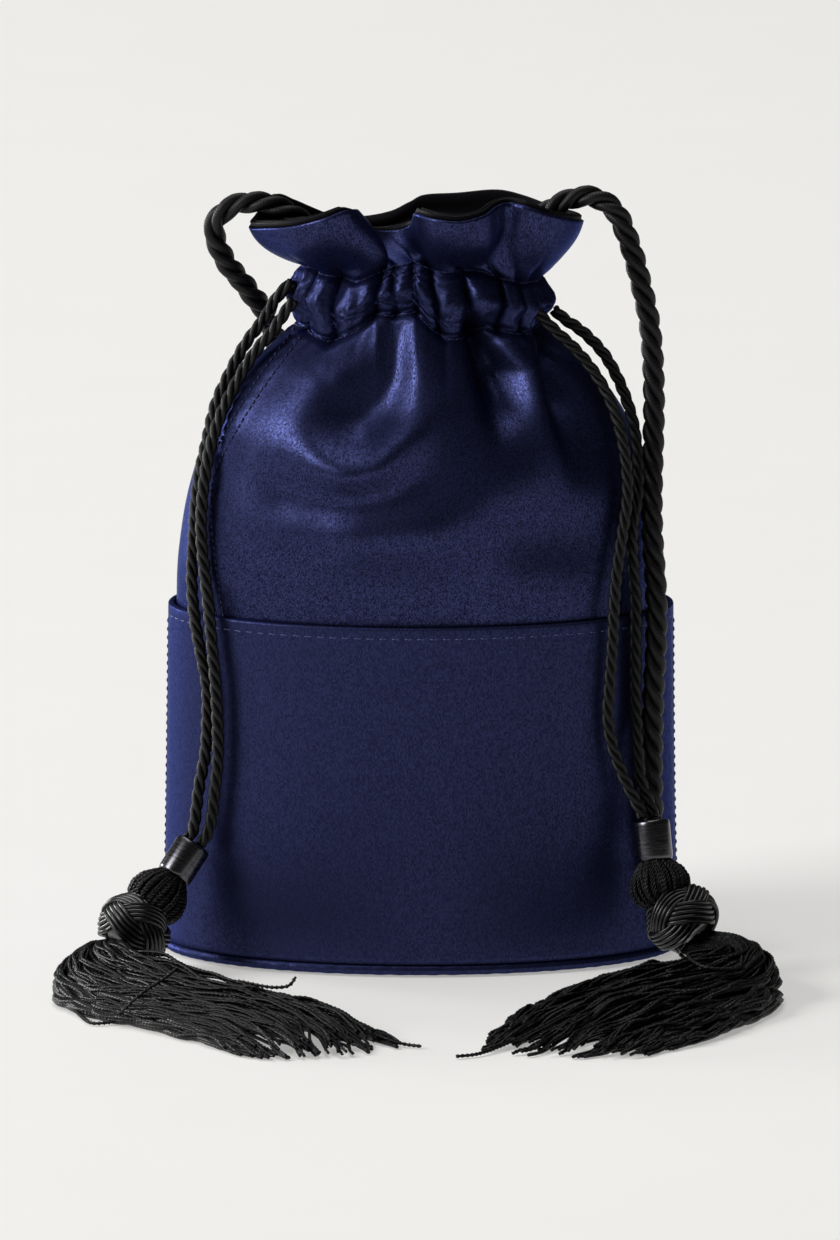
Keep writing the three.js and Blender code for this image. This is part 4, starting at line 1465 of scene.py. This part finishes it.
@dataclass
class Tassel:
    """Tassel of one pair of cords: metal ferrule, head of lengthwise threads, woven knot and long skirt."""

    side: str
    ferrule: tuple[Point, Point]
    head: tuple[Point, Point]
    knot: tuple[Point, Point]
    # Guide strands of the skirt, from the back foot of the heap over its top to the front foot.
    guides: tuple[tuple[Point, ...], ...]
    # Single strands that lie over or beside the heap.
    strays: tuple[tuple[Point, ...], ...]
    seed: int
    head_threads: int = 54
    head_stations: int = 44
    # Ends of the head's threads along its axis, under the ferrule and under the knot.
    head_span: tuple[float, float] = (-0.1, 1.12)
    head_core_depth: float = 0.5
    # Mean lean of the head's threads, and the scatter of their places, of their lean and of their depth.
    head_lean: float = 0.1
    head_scatter: Point = (0.03, 0.09, 0.22)
    thread_radius: float = 0.62
    thread_pitch: float = 3.2
    # Distance of a ply's middle from its thread, and half its thickness, as shares of the thread's radius.
    ply_reach: float = 0.56
    ply_half: float = 0.58
    skirt_strands: int = 222
    outer_strands: int = 104
    twist_stations: int = 176
    ply_pitch: float = 1.7
    strand_radius: float = 0.62
    strand_stations: int = 48
    strand_sides: int = 4
    # Size of a twisted strand's oval against its radius, and the oval's flatness.
    oval_size: float = 1.15
    oval_flat: float = 0.66
    # How much thicker the strands under the heap are, over what share of them it fades, and where it ends.
    under_swell: float = 0.9
    under_fade: float = 0.2
    under_end: float = 0.86
    # Scatter of the locks and of the strands among the guides.
    lock_scatter: float = 0.22
    strand_scatter: float = 0.03
    shortest: float = 0.84
    # Share of its length over which a strand comes loose from the knot.
    loosening: float = 0.22
    # Share of the heap's height at which outer and inner strands lie, and the step between neighbours.
    outer_layers: tuple[float, float] = (0.86, 1.0)
    inner_layers: tuple[float, float] = (0.3, 0.85)
    layer_step: float = 0.05
    floor_gap: float = 0.1
    locks: int = 34
    wave: float = 1.2
    # Waves along a strand, their share of the size, and whether all the strands of a lock share them.
    waves: tuple[tuple[float, float, bool], ...] = (
        (2.2, 1.0, True), (4.5, 0.8, True), (7.0, 0.35, False), (12.0, 0.2, False),
    )
    bights: int = 4
    leads: int = 3
    band_cords: int = 5
    knot_cord: float = 1.52
    cord_lap: float = 0.96
    knot_stations: int = 300
    knot_radius: float = 11.0
    knot_overhang: float = 3.2
    knot_lift: float = 0.9
    knot_core_depth: float = 3.4
    ferrule_sides: int = 48
    ferrule_girth: float = 38.0
    ferrule_profile: tuple[tuple[float, float], ...] = (
        (0.0, 4.6), (0.0, 5.4), (0.02, 5.8), (0.06, 6.0), (0.12, 6.1), (0.88, 6.1), (0.94, 6.0),
        (0.98, 5.8), (1.0, 5.4), (1.0, 4.6),
    )
    head_profile: tuple[tuple[float, float], ...] = (
        (-0.12, 4.2), (0.0, 5.6), (0.12, 7.0), (0.35, 9.3), (0.65, 10.3), (0.9, 9.6), (1.0, 8.4), (1.15, 6.4),
    )
    knot_profile: tuple[tuple[float, float], ...] = (
        (0.0, 8.6), (0.12, 10.0), (0.32, 11.9), (0.55, 12.4), (0.8, 11.4), (1.0, 9.2),
    )

    @staticmethod
    def axis(ends: tuple[Point, Point]) -> tuple[Array, Array, Array, Array, float]:
        """Finds the axis of a piece between two points.

        Args:
            ends: the two points.

        Returns:
            Its start, its direction, two directions square to it, and its length.
        """
        top, foot = (np.array(p, dtype=float) for p in ends)
        length = float(np.linalg.norm(foot - top))
        ahead = (foot - top) / length
        first = unit(np.cross(ahead, np.array([0.3, 1.0, 0.2])))
        return top, ahead, first, np.cross(ahead, first), length

    def turned(
        self, ends: tuple[Point, Point], share: Array, radius: Array, sides: int, girth: float = 1.0
    ) -> Shape:
        """Turns a section round the axis between two points.

        Args:
            ends: the two points.
            share: place of each ring as a share of the axis.
            radius: radius of each ring.
            sides: points of a ring.
            girth: texture distance round it.

        Returns:
            The turned solid.
        """
        top, ahead, first, second, length = self.axis(ends)
        spoke = swung(first, second, np.linspace(0, 2 * np.pi, sides + 1)[:-1])
        rings = top + ahead * (share * length)[:, None, None] + spoke * radius[:, None, None]
        return lofted(rings[None], (share * length)[None], np.linspace(0, girth, sides + 1))

    def build_ferrule(self, finish: Material) -> Object:
        """Ferrule: its section turned round the axis.

        Args:
            finish: finish of the metal.

        Returns:
            The ferrule.
        """
        share, radius = np.array(self.ferrule_profile).T
        name = f"ferrule_{self.side}"
        shape = self.turned(self.ferrule, share, radius, self.ferrule_sides, self.ferrule_girth)
        return shape.piece(f"{name}_gunmetal", finish, Slot.FERRULE, (name,))

    def build_head(self, finish: Material) -> Object:
        """Head: two-ply threads laid from ferrule to knot over a core, each ply a helix about its thread.

        Args:
            finish: finish of the thread.

        Returns:
            The head.
        """
        draw = np.random.default_rng(self.seed)
        top, ahead, first, second, length = self.axis(self.head)
        share = np.linspace(*self.head_span, self.head_stations)
        profile = np.array(self.head_profile)
        radius = np.interp(share, profile[:, 0], profile[:, 1]) - self.thread_radius
        count = self.head_threads
        of_place, of_lean, of_depth = self.head_scatter
        base = np.arange(count) / count * 2 * np.pi + draw.normal(0, of_place, count)
        lean = draw.normal(self.head_lean, of_lean, count)[:, None]
        turn = base[:, None] + lean * share
        depth = radius + draw.normal(0, of_depth, (count, 1))
        spoke = swung(first, second, turn)
        threads = top + ahead * (share * length)[:, None] + spoke * depth[..., None]
        along = np.linalg.norm(np.diff(threads, axis=1), axis=2).mean() * np.arange(len(share))
        level = np.cross(ahead, spoke)
        phase = draw.uniform(0, 2 * np.pi, (count, 1)) + 2 * np.pi * along / self.thread_pitch
        plies = []
        for half in (0.0, np.pi):
            swing = swung(spoke, level, phase + half)
            plies.append(threads + swing * self.ply_reach * self.thread_radius)
        half_thick = self.ply_half * self.thread_radius
        cover = tubes_along(np.concatenate(plies), half_thick, 5, np.concatenate([spoke, spoke]))
        filling = self.turned(self.head, share, radius - self.head_core_depth, 24)
        name = f"tassel_head_{self.side}"
        return joined([cover, filling]).piece(f"{name}_threads", finish, Slot.TASSEL, (name,))

    def build_knot(self, finish: Material) -> Object:
        """Knot: a ring plait of three leads, each a band of parallel cords.

        A lead runs round the barrel with its height h cos(p) and its lift sin(2 p), where p is bights a
        over leads.

        Args:
            finish: finish of the cord.

        Returns:
            The knot.
        """
        top, ahead, first, second, length = self.axis(self.knot)
        angle = np.linspace(0, 2 * np.pi * self.leads, self.knot_stations)
        phase = self.bights * angle / self.leads
        band = self.knot_cord * self.band_cords
        height = 0.5 * (length + self.knot_overhang - band)
        centre = height * np.cos(phase)
        climb = -height * self.bights / self.leads * np.sin(phase) / self.knot_radius
        tilt = np.arctan(climb)
        place = (np.arange(self.band_cords) - (self.band_cords - 1) / 2)[:, None]
        offset = place * self.knot_cord * self.cord_lap
        level = centre + offset * np.cos(tilt)
        turn = angle - offset * np.sin(tilt) / self.knot_radius
        profile = np.array(self.knot_profile)
        share = level / length + 0.5
        outside = np.interp(share, profile[:, 0], profile[:, 1])
        radius = outside + self.knot_lift * np.sin(2 * phase) - self.knot_lift
        spoke = swung(first, second, turn)
        lines = top + ahead * (length / 2 + level)[..., None] + spoke * radius[..., None]
        weave = tubes_along(lines, self.knot_cord / 2, 8, spoke)
        core_share = np.linspace(0.06, 0.94, 12)
        core_radius = np.interp(core_share, profile[:, 0], profile[:, 1]) - self.knot_core_depth
        filling = self.turned(self.knot, core_share, core_radius, 32)
        name = f"tassel_knot_{self.side}"
        return joined([weave, filling]).piece(f"{name}_cords", finish, Slot.KNOT, (name,))

    def build_skirt(self, finish: Material) -> Object:
        """Skirt: strands laid between guide strands, waving in locks, with ragged ends on the floor.

        A strand blends its two nearest guides and lies at a share of the heap's height, the outer ones side
        by side over the rest. The waves of its lock and its own small waves grow from the knot on.

        Args:
            finish: finish of the thread.

        Returns:
            The skirt.
        """
        draw = np.random.default_rng(self.seed + 100)
        count, stations = self.skirt_strands, self.strand_stations
        guides = np.stack([self.stationed(guide) for guide in self.guides])
        order = np.arange(count)
        outer = order < self.outer_strands
        across = np.where(outer, order / self.outer_strands, draw.uniform(0, 0.999, count))
        lock = (across * self.locks).astype(int)
        place = across * (len(guides) - 1) + draw.normal(0, self.lock_scatter, self.locks)[lock]
        place = np.clip(place + draw.normal(0, self.strand_scatter, count), 0, len(guides) - 1.001)
        low = place.astype(int)[:, None]
        mix = (place[:, None] - low)[..., None]
        share = np.linspace(0, 1, stations)[None] * draw.uniform(self.shortest, 1.0, (count, 1))
        walk = share * (stations - 1)
        step = np.minimum(walk.astype(int), stations - 2)
        part = (walk - step)[..., None]
        lower = guides[low, step] * (1 - part) + guides[low, step + 1] * part
        upper = guides[low + 1, step] * (1 - part) + guides[low + 1, step + 1] * part
        lines = lower * (1 - mix) + upper * mix
        loose = smooth(share / self.loosening)
        piled = draw.uniform(*self.outer_layers, self.locks)[lock] - self.layer_step * (order % 3)
        layer = np.where(outer, piled, draw.uniform(*self.inner_layers, count))[:, None]
        lines[..., 2] *= 1 - (1 - layer) * loose
        ahead = unit(np.gradient(lines, axis=1))
        side = unit(np.stack([ahead[..., 1], -ahead[..., 0], 0 * share], axis=-1))
        for waves, size, shared in self.waves:
            for way in (side, np.array([0.0, 0.0, 0.7])):
                owners = self.locks if shared else count
                phase = draw.uniform(0, 1, owners)
                most = self.wave * size * draw.uniform(0.3, 1.2, owners)
                if shared:
                    phase, most = phase[lock], most[lock]
                swing = most[:, None] * np.sin(2 * np.pi * (waves * share + phase[:, None]))
                lines = lines + way * (loose * swing)[..., None]
        strays = np.stack([self.stationed(stray) for stray in self.strays])
        lines = np.concatenate([strays, lines])
        lines[..., 2] = np.maximum(lines[..., 2], self.strand_radius + self.floor_gap)
        outer = self.two_ply(lines[: self.outer_strands], draw)
        under = lines[self.outer_strands :]
        fade = smooth(share / self.under_fade) * smooth((self.under_end - share) / self.under_fade)
        full = 1 + self.under_swell * fade
        thick = self.strand_radius * full[-len(under) :]
        under[..., 2] = np.maximum(under[..., 2], thick + self.floor_gap)
        inner = tubes_along(under, thick, self.strand_sides, np.broadcast_to(UPRIGHT, under.shape))
        shape = joined([outer, inner])
        name = f"tassel_skirt_{self.side}"
        return shape.piece(f"{name}_strands", finish, Slot.TASSEL, (name,))

    def two_ply(self, lines: Array, draw: np.random.Generator) -> Shape:
        """Twisted strands: an oval that turns half round for each ply, drawn at closer stations.

        Args:
            lines: centrelines of the strands.
            draw: source of each strand's starting turn.

        Returns:
            The strands.
        """
        walk = np.linspace(0, lines.shape[1] - 1, self.twist_stations)
        step = np.minimum(walk.astype(int), lines.shape[1] - 2)
        part = (walk - step)[:, None]
        fine = lines[:, step] * (1 - part) + lines[:, step + 1] * part
        strides = np.linalg.norm(np.diff(fine, axis=1), axis=2).mean(axis=1)
        walked = strides[:, None] * np.arange(self.twist_stations)
        twist = draw.uniform(0, np.pi, (len(lines), 1)) + np.pi * walked / self.ply_pitch
        out = np.broadcast_to(UPRIGHT, fine.shape)
        size = self.strand_radius * self.oval_size
        return tubes_along(fine, size, self.strand_sides, out, twist, self.oval_flat)

    def stationed(self, route: tuple[Point, ...]) -> Array:
        """Draws a smooth line through a route.

        Args:
            route: points of the route.

        Returns:
            As many points as a strand has stations.
        """
        line = spline(np.array(route, dtype=float), 0.5)
        return read_at(np.linspace(0, len(line) - 1, self.strand_stations), np.arange(len(line)), line)


TASSELS: tuple[Tassel, ...] = (
    Tassel(
        side="left",
        ferrule=((-75.3, -34.8, 42.5), (-82.2, -38.8, 32.3)),
        head=((-82.6, -39.1, 31.7), (-90.3, -44.2, 22.6)),
        knot=((-90.8, -44.7, 22.0), (-99.0, -52.2, 12.0)),
        guides=(
            ((-89, -52, 8), (-96, -62, 6), (-91, -74, 4), (-76, -88, 3),
             (-54, -106, 2.5), (-36, -117, 2), (-18, -130, 1), (-6, -146, 1)),
            ((-93, -53, 11), (-98.5, -62, 15.5), (-93, -76, 17.5), (-80, -94, 16.5),
             (-61, -113, 14), (-42, -123, 11.5), (-22, -136, 7), (-8, -156, 1)),
            ((-97, -53, 13), (-104, -62, 16), (-102, -77, 16.5), (-90, -97, 15.5),
             (-72, -115, 14.5), (-50, -128, 12), (-33, -143, 7), (-24, -167, 1)),
            ((-101, -53, 13), (-110, -60, 14.5), (-114.5, -75, 11.5), (-107, -95, 8.5),
             (-86, -117, 10), (-63, -135, 10), (-48, -149, 6.5), (-38, -170, 1)),
            ((-104, -53, 11), (-114.5, -61, 11), (-119.5, -78, 7.5), (-111, -100, 5),
             (-90, -124, 6), (-69, -144, 5), (-56, -158, 2), (-48, -171, 1)),
            ((-104, -54, 7), (-116.5, -66, 4), (-120.5, -84, 3), (-111, -105, 2),
             (-95, -122, 2), (-74, -144, 2), (-64, -158, 1.2), (-57, -168, 1)),
        ),
        strays=(
            ((-80, -112, 17.5), (-84, -117.5, 15.5), (-90, -119.5, 12), (-95, -120.5, 8), (-99, -120.5, 4)),
            ((-116, -96, 3), (-112, -108, 1), (-107, -119.5, 0.8), (-100.5, -118, 1), (-95, -116, 3)),
            ((-60, -115, 14), (-48, -120, 13), (-43, -121, 14), (-41, -120, 16.5)),
            ((-30, -135, 6), (-16, -144, 3), (-6, -150, 1), (0, -153, 0.8)),
        ),
        seed=11,
    ),
    Tassel(
        side="right",
        ferrule=((76.4, -38.8, 51.4), (77.7, -41.8, 38.4)),
        head=((76.9, -42.2, 37.4), (80.8, -46.4, 26.6)),
        knot=((82.0, -46.9, 26.0), (90.7, -52.9, 15.4)),
        guides=(
            ((86, -53, 9), (91, -60, 6), (92, -68, 4), (80, -78, 3),
             (62, -90, 2.5), (45, -102, 2), (33, -114, 1), (24, -130, 1)),
            ((88, -53, 12), (95, -60, 14), (98, -70, 14.5), (86, -82, 15.5),
             (68, -96, 14.5), (50, -108, 11), (36, -120, 7), (24, -139, 1)),
            ((91, -53, 15), (101, -60, 16.5), (108, -72, 17), (100, -90, 16.5),
             (80, -106, 15.5), (58, -120, 12.5), (38, -137, 6.5), (20, -160, 1)),
            ((94.5, -53, 17), (104.5, -60, 17), (113, -75, 16), (108, -96, 13),
             (91, -115, 13), (70, -132, 11.5), (51, -150, 6), (38, -168, 1)),
            ((97, -53, 16), (108, -61, 12.5), (115.5, -80, 10), (112, -102, 7.5),
             (98, -123, 8), (80, -141, 7.5), (65, -157, 4), (56, -170, 1)),
            ((97, -54, 12), (109, -65, 5), (116.5, -87, 3), (114, -109, 2.5),
             (104, -129, 2), (92, -146, 1.5), (83, -158, 1), (76, -167, 1)),
        ),
        strays=(
            ((58, -124, 12), (40, -142, 5), (26, -156, 1.5), (18, -165, 0.8), (11.5, -168, 0.8)),
            ((96, -78, 16), (88, -92, 17.5), (94, -104, 16), (104, -100, 15), (106, -88, 16)),
        ),
        seed=23,
        wave=1.6,
    ),
)


@dataclass
class Studio:
    """Pale paper floor, a soft key from the left, softboxes overhead and a long lens at the photo's angle."""

    distance: float = 6.0
    elevation_deg: float = 11.6
    frame_height: float = 0.4133
    target: Point = (-0.0003, 0.0, 0.1113)
    sensor: float = 36.0
    floor_reach: float = 40.0
    floor_z: float = -0.0003
    floor_points: int = 9
    # Name, place in metres, side of the square in metres and watts of each softbox.
    lights: tuple[tuple[str, Point, float, float], ...] = (
        ("key_softbox", (-5.0, -2.0, 3.1), 2.5, 282.0),
        ("top_softbox", (-0.6, 1.8, 5.4), 4.5, 150.0),
        ("overhead_softbox", (-0.8, -1.3, 5.4), 1.8, 30.0),
        ("left_softbox", (-4.6, 3.0, 0.75), 1.4, 175.0),
    )
    light_colour: str = "#ffffff"
    light_aim: Point = (0.0, 0.0, 0.12)
    air_colour: str = "#f2f1ee"
    air_strength: float = 0.05

    def camera(self) -> None:
        """Places the camera: its lens fits frame_height along the sensor's long side at the bag."""
        data = bpy.data.cameras.new("photo_camera")
        data.sensor_width = self.sensor
        data.lens = self.sensor * self.distance / self.frame_height
        data.clip_end = 200.0
        tilt = np.radians(self.elevation_deg)
        back = Vector((0.0, -np.cos(tilt), np.sin(tilt)))
        made = bpy.data.objects.new("photo_camera", data)
        made.location = Vector(self.target) + back * self.distance
        made.rotation_euler = (-back).to_track_quat("-Z", "Y").to_euler()
        bpy.context.scene.collection.objects.link(made)
        bpy.context.scene.camera = made

    def floor(self, finish: Material) -> None:
        """Lays the floor: a flat grid of paper.

        Args:
            finish: finish of the paper.
        """
        steps = np.linspace(-self.floor_reach, self.floor_reach, self.floor_points)
        x, y = np.meshgrid(steps, steps)
        points = np.stack([x, y, np.full_like(x, self.floor_z)], axis=-1).reshape(-1, 3)
        number = np.arange(x.size).reshape(x.shape)
        corners = (number[:-1, :-1], number[:-1, 1:], number[1:, 1:], number[1:, :-1])
        mesh = bpy.data.meshes.new("paper_floor")
        mesh.from_pydata(points.tolist(), [], np.stack(corners, axis=-1).reshape(-1, 4).tolist())
        mesh.materials.append(finish)
        made = bpy.data.objects.new("paper_floor", mesh)
        bpy.context.scene.collection.objects.link(made)

    def light(self, name: str, place: Point, size: float, watts: float) -> None:
        """Hangs a square softbox that faces the middle of the bag.

        Args:
            name: name of the light.
            place: where it hangs, in metres.
            size: side of the square, in metres.
            watts: power of the light.
        """
        data = bpy.data.lights.new(name, "AREA")
        data.size = size
        data.energy = watts
        data.color = linear(self.light_colour)[:3]
        made = bpy.data.objects.new(name, data)
        made.location = place
        toward = Vector(self.light_aim) - Vector(place)
        made.rotation_euler = toward.to_track_quat("-Z", "Y").to_euler()
        bpy.context.scene.collection.objects.link(made)

    def build(self, paper: Material) -> None:
        """Sets up floor, lights and surrounding light.

        Args:
            paper: finish of the floor.
        """
        self.floor(paper)
        for light in self.lights:
            self.light(*light)
        world = bpy.data.worlds.new("studio_air")
        world.use_nodes = True
        air = world.node_tree.nodes["Background"].inputs
        air["Color"].default_value = linear(self.air_colour)
        air["Strength"].default_value = self.air_strength
        bpy.context.scene.world = world
        bpy.context.scene.view_settings.view_transform = "Standard"


def main() -> None:
    """Builds the studio, the cords, the tassels, the bucket and the pouch, and notes the sizes."""
    logging.basicConfig(level=logging.INFO, format="%(name)s %(message)s")
    studio = Studio()
    studio.camera()
    cord = ThreadFinish("black_rayon_cord", ply_mm=0.9, slant=4.0, ridge_mm=0.08).material()
    strand = ThreadFinish(
        "black_rayon_tassel_thread",
        painted_groove_shade="#020203",
        light="#09090b",
        roughness=0.42,
        gloss=0.26,
        ridge_mm=0.16,
    ).material()
    knot_cord = ThreadFinish(
        "black_rattail_knot_cord", ply_mm=0.7, slant=3.0, ridge_mm=0.02, roughness=0.33, gloss=0.55
    ).material()
    gunmetal = MetalFinish("brushed_gunmetal_plate").material()
    for tassel in TASSELS:
        pieces = (
            tassel.build_ferrule(gunmetal),
            tassel.build_head(strand),
            tassel.build_knot(knot_cord),
        )
        tassel.build_skirt(strand)
        for end in ("outer", "inner"):
            name = f"{tassel.side}_{end}"
            rope = Rope(f"drawcord_{name}_rope", f"drawcord_{name}", DRAWCORD_ROUTES[name])
            on_end = tuple(p.name for p in pieces) if end == "outer" else (pieces[0].name,)
            rope.build(cord, "fitting", on_end)
    handle = Rope("handle_rope", "handle", HANDLE_ROUTE, 7.5, 20.6, sides=10, spacing=1.0)
    handle.build(cord, "object")
    satin_bucket = SatinFinish(
        "duchesse_satin_taut",
        face="#31365c",
        deep="#232645",
        roughness=0.45,
        warp_mm=0.34,
        float_mm=0.7,
        weft_share=0.12,
        weave_height_mm=0.03,
    ).material()
    satin_pouch = SatinFinish("duchesse_satin_soft").material()
    stitch = ThreadFinish(
        "pale_blue_stitch_thread", painted_groove_shade="#20264f", light="#4a558c", gloss=0.5, roughness=0.35
    ).material()
    navy_thread = ThreadFinish("navy_seam_thread", painted_groove_shade="#0a0c1e", light="#323a70").material()
    lining = SatinFinish(
        "black_lining_taffeta", face="#0f0f12", deep="#070709", edge="#77777f", tinted=0.3, roughness=0.55
    ).material()
    Bucket().build(satin_bucket, stitch)
    Pouch().build(satin_pouch, lining, navy_thread)
    studio.build(PaperFinish("pale_paper_sweep").material())


if __name__ == "__main__":
    main()
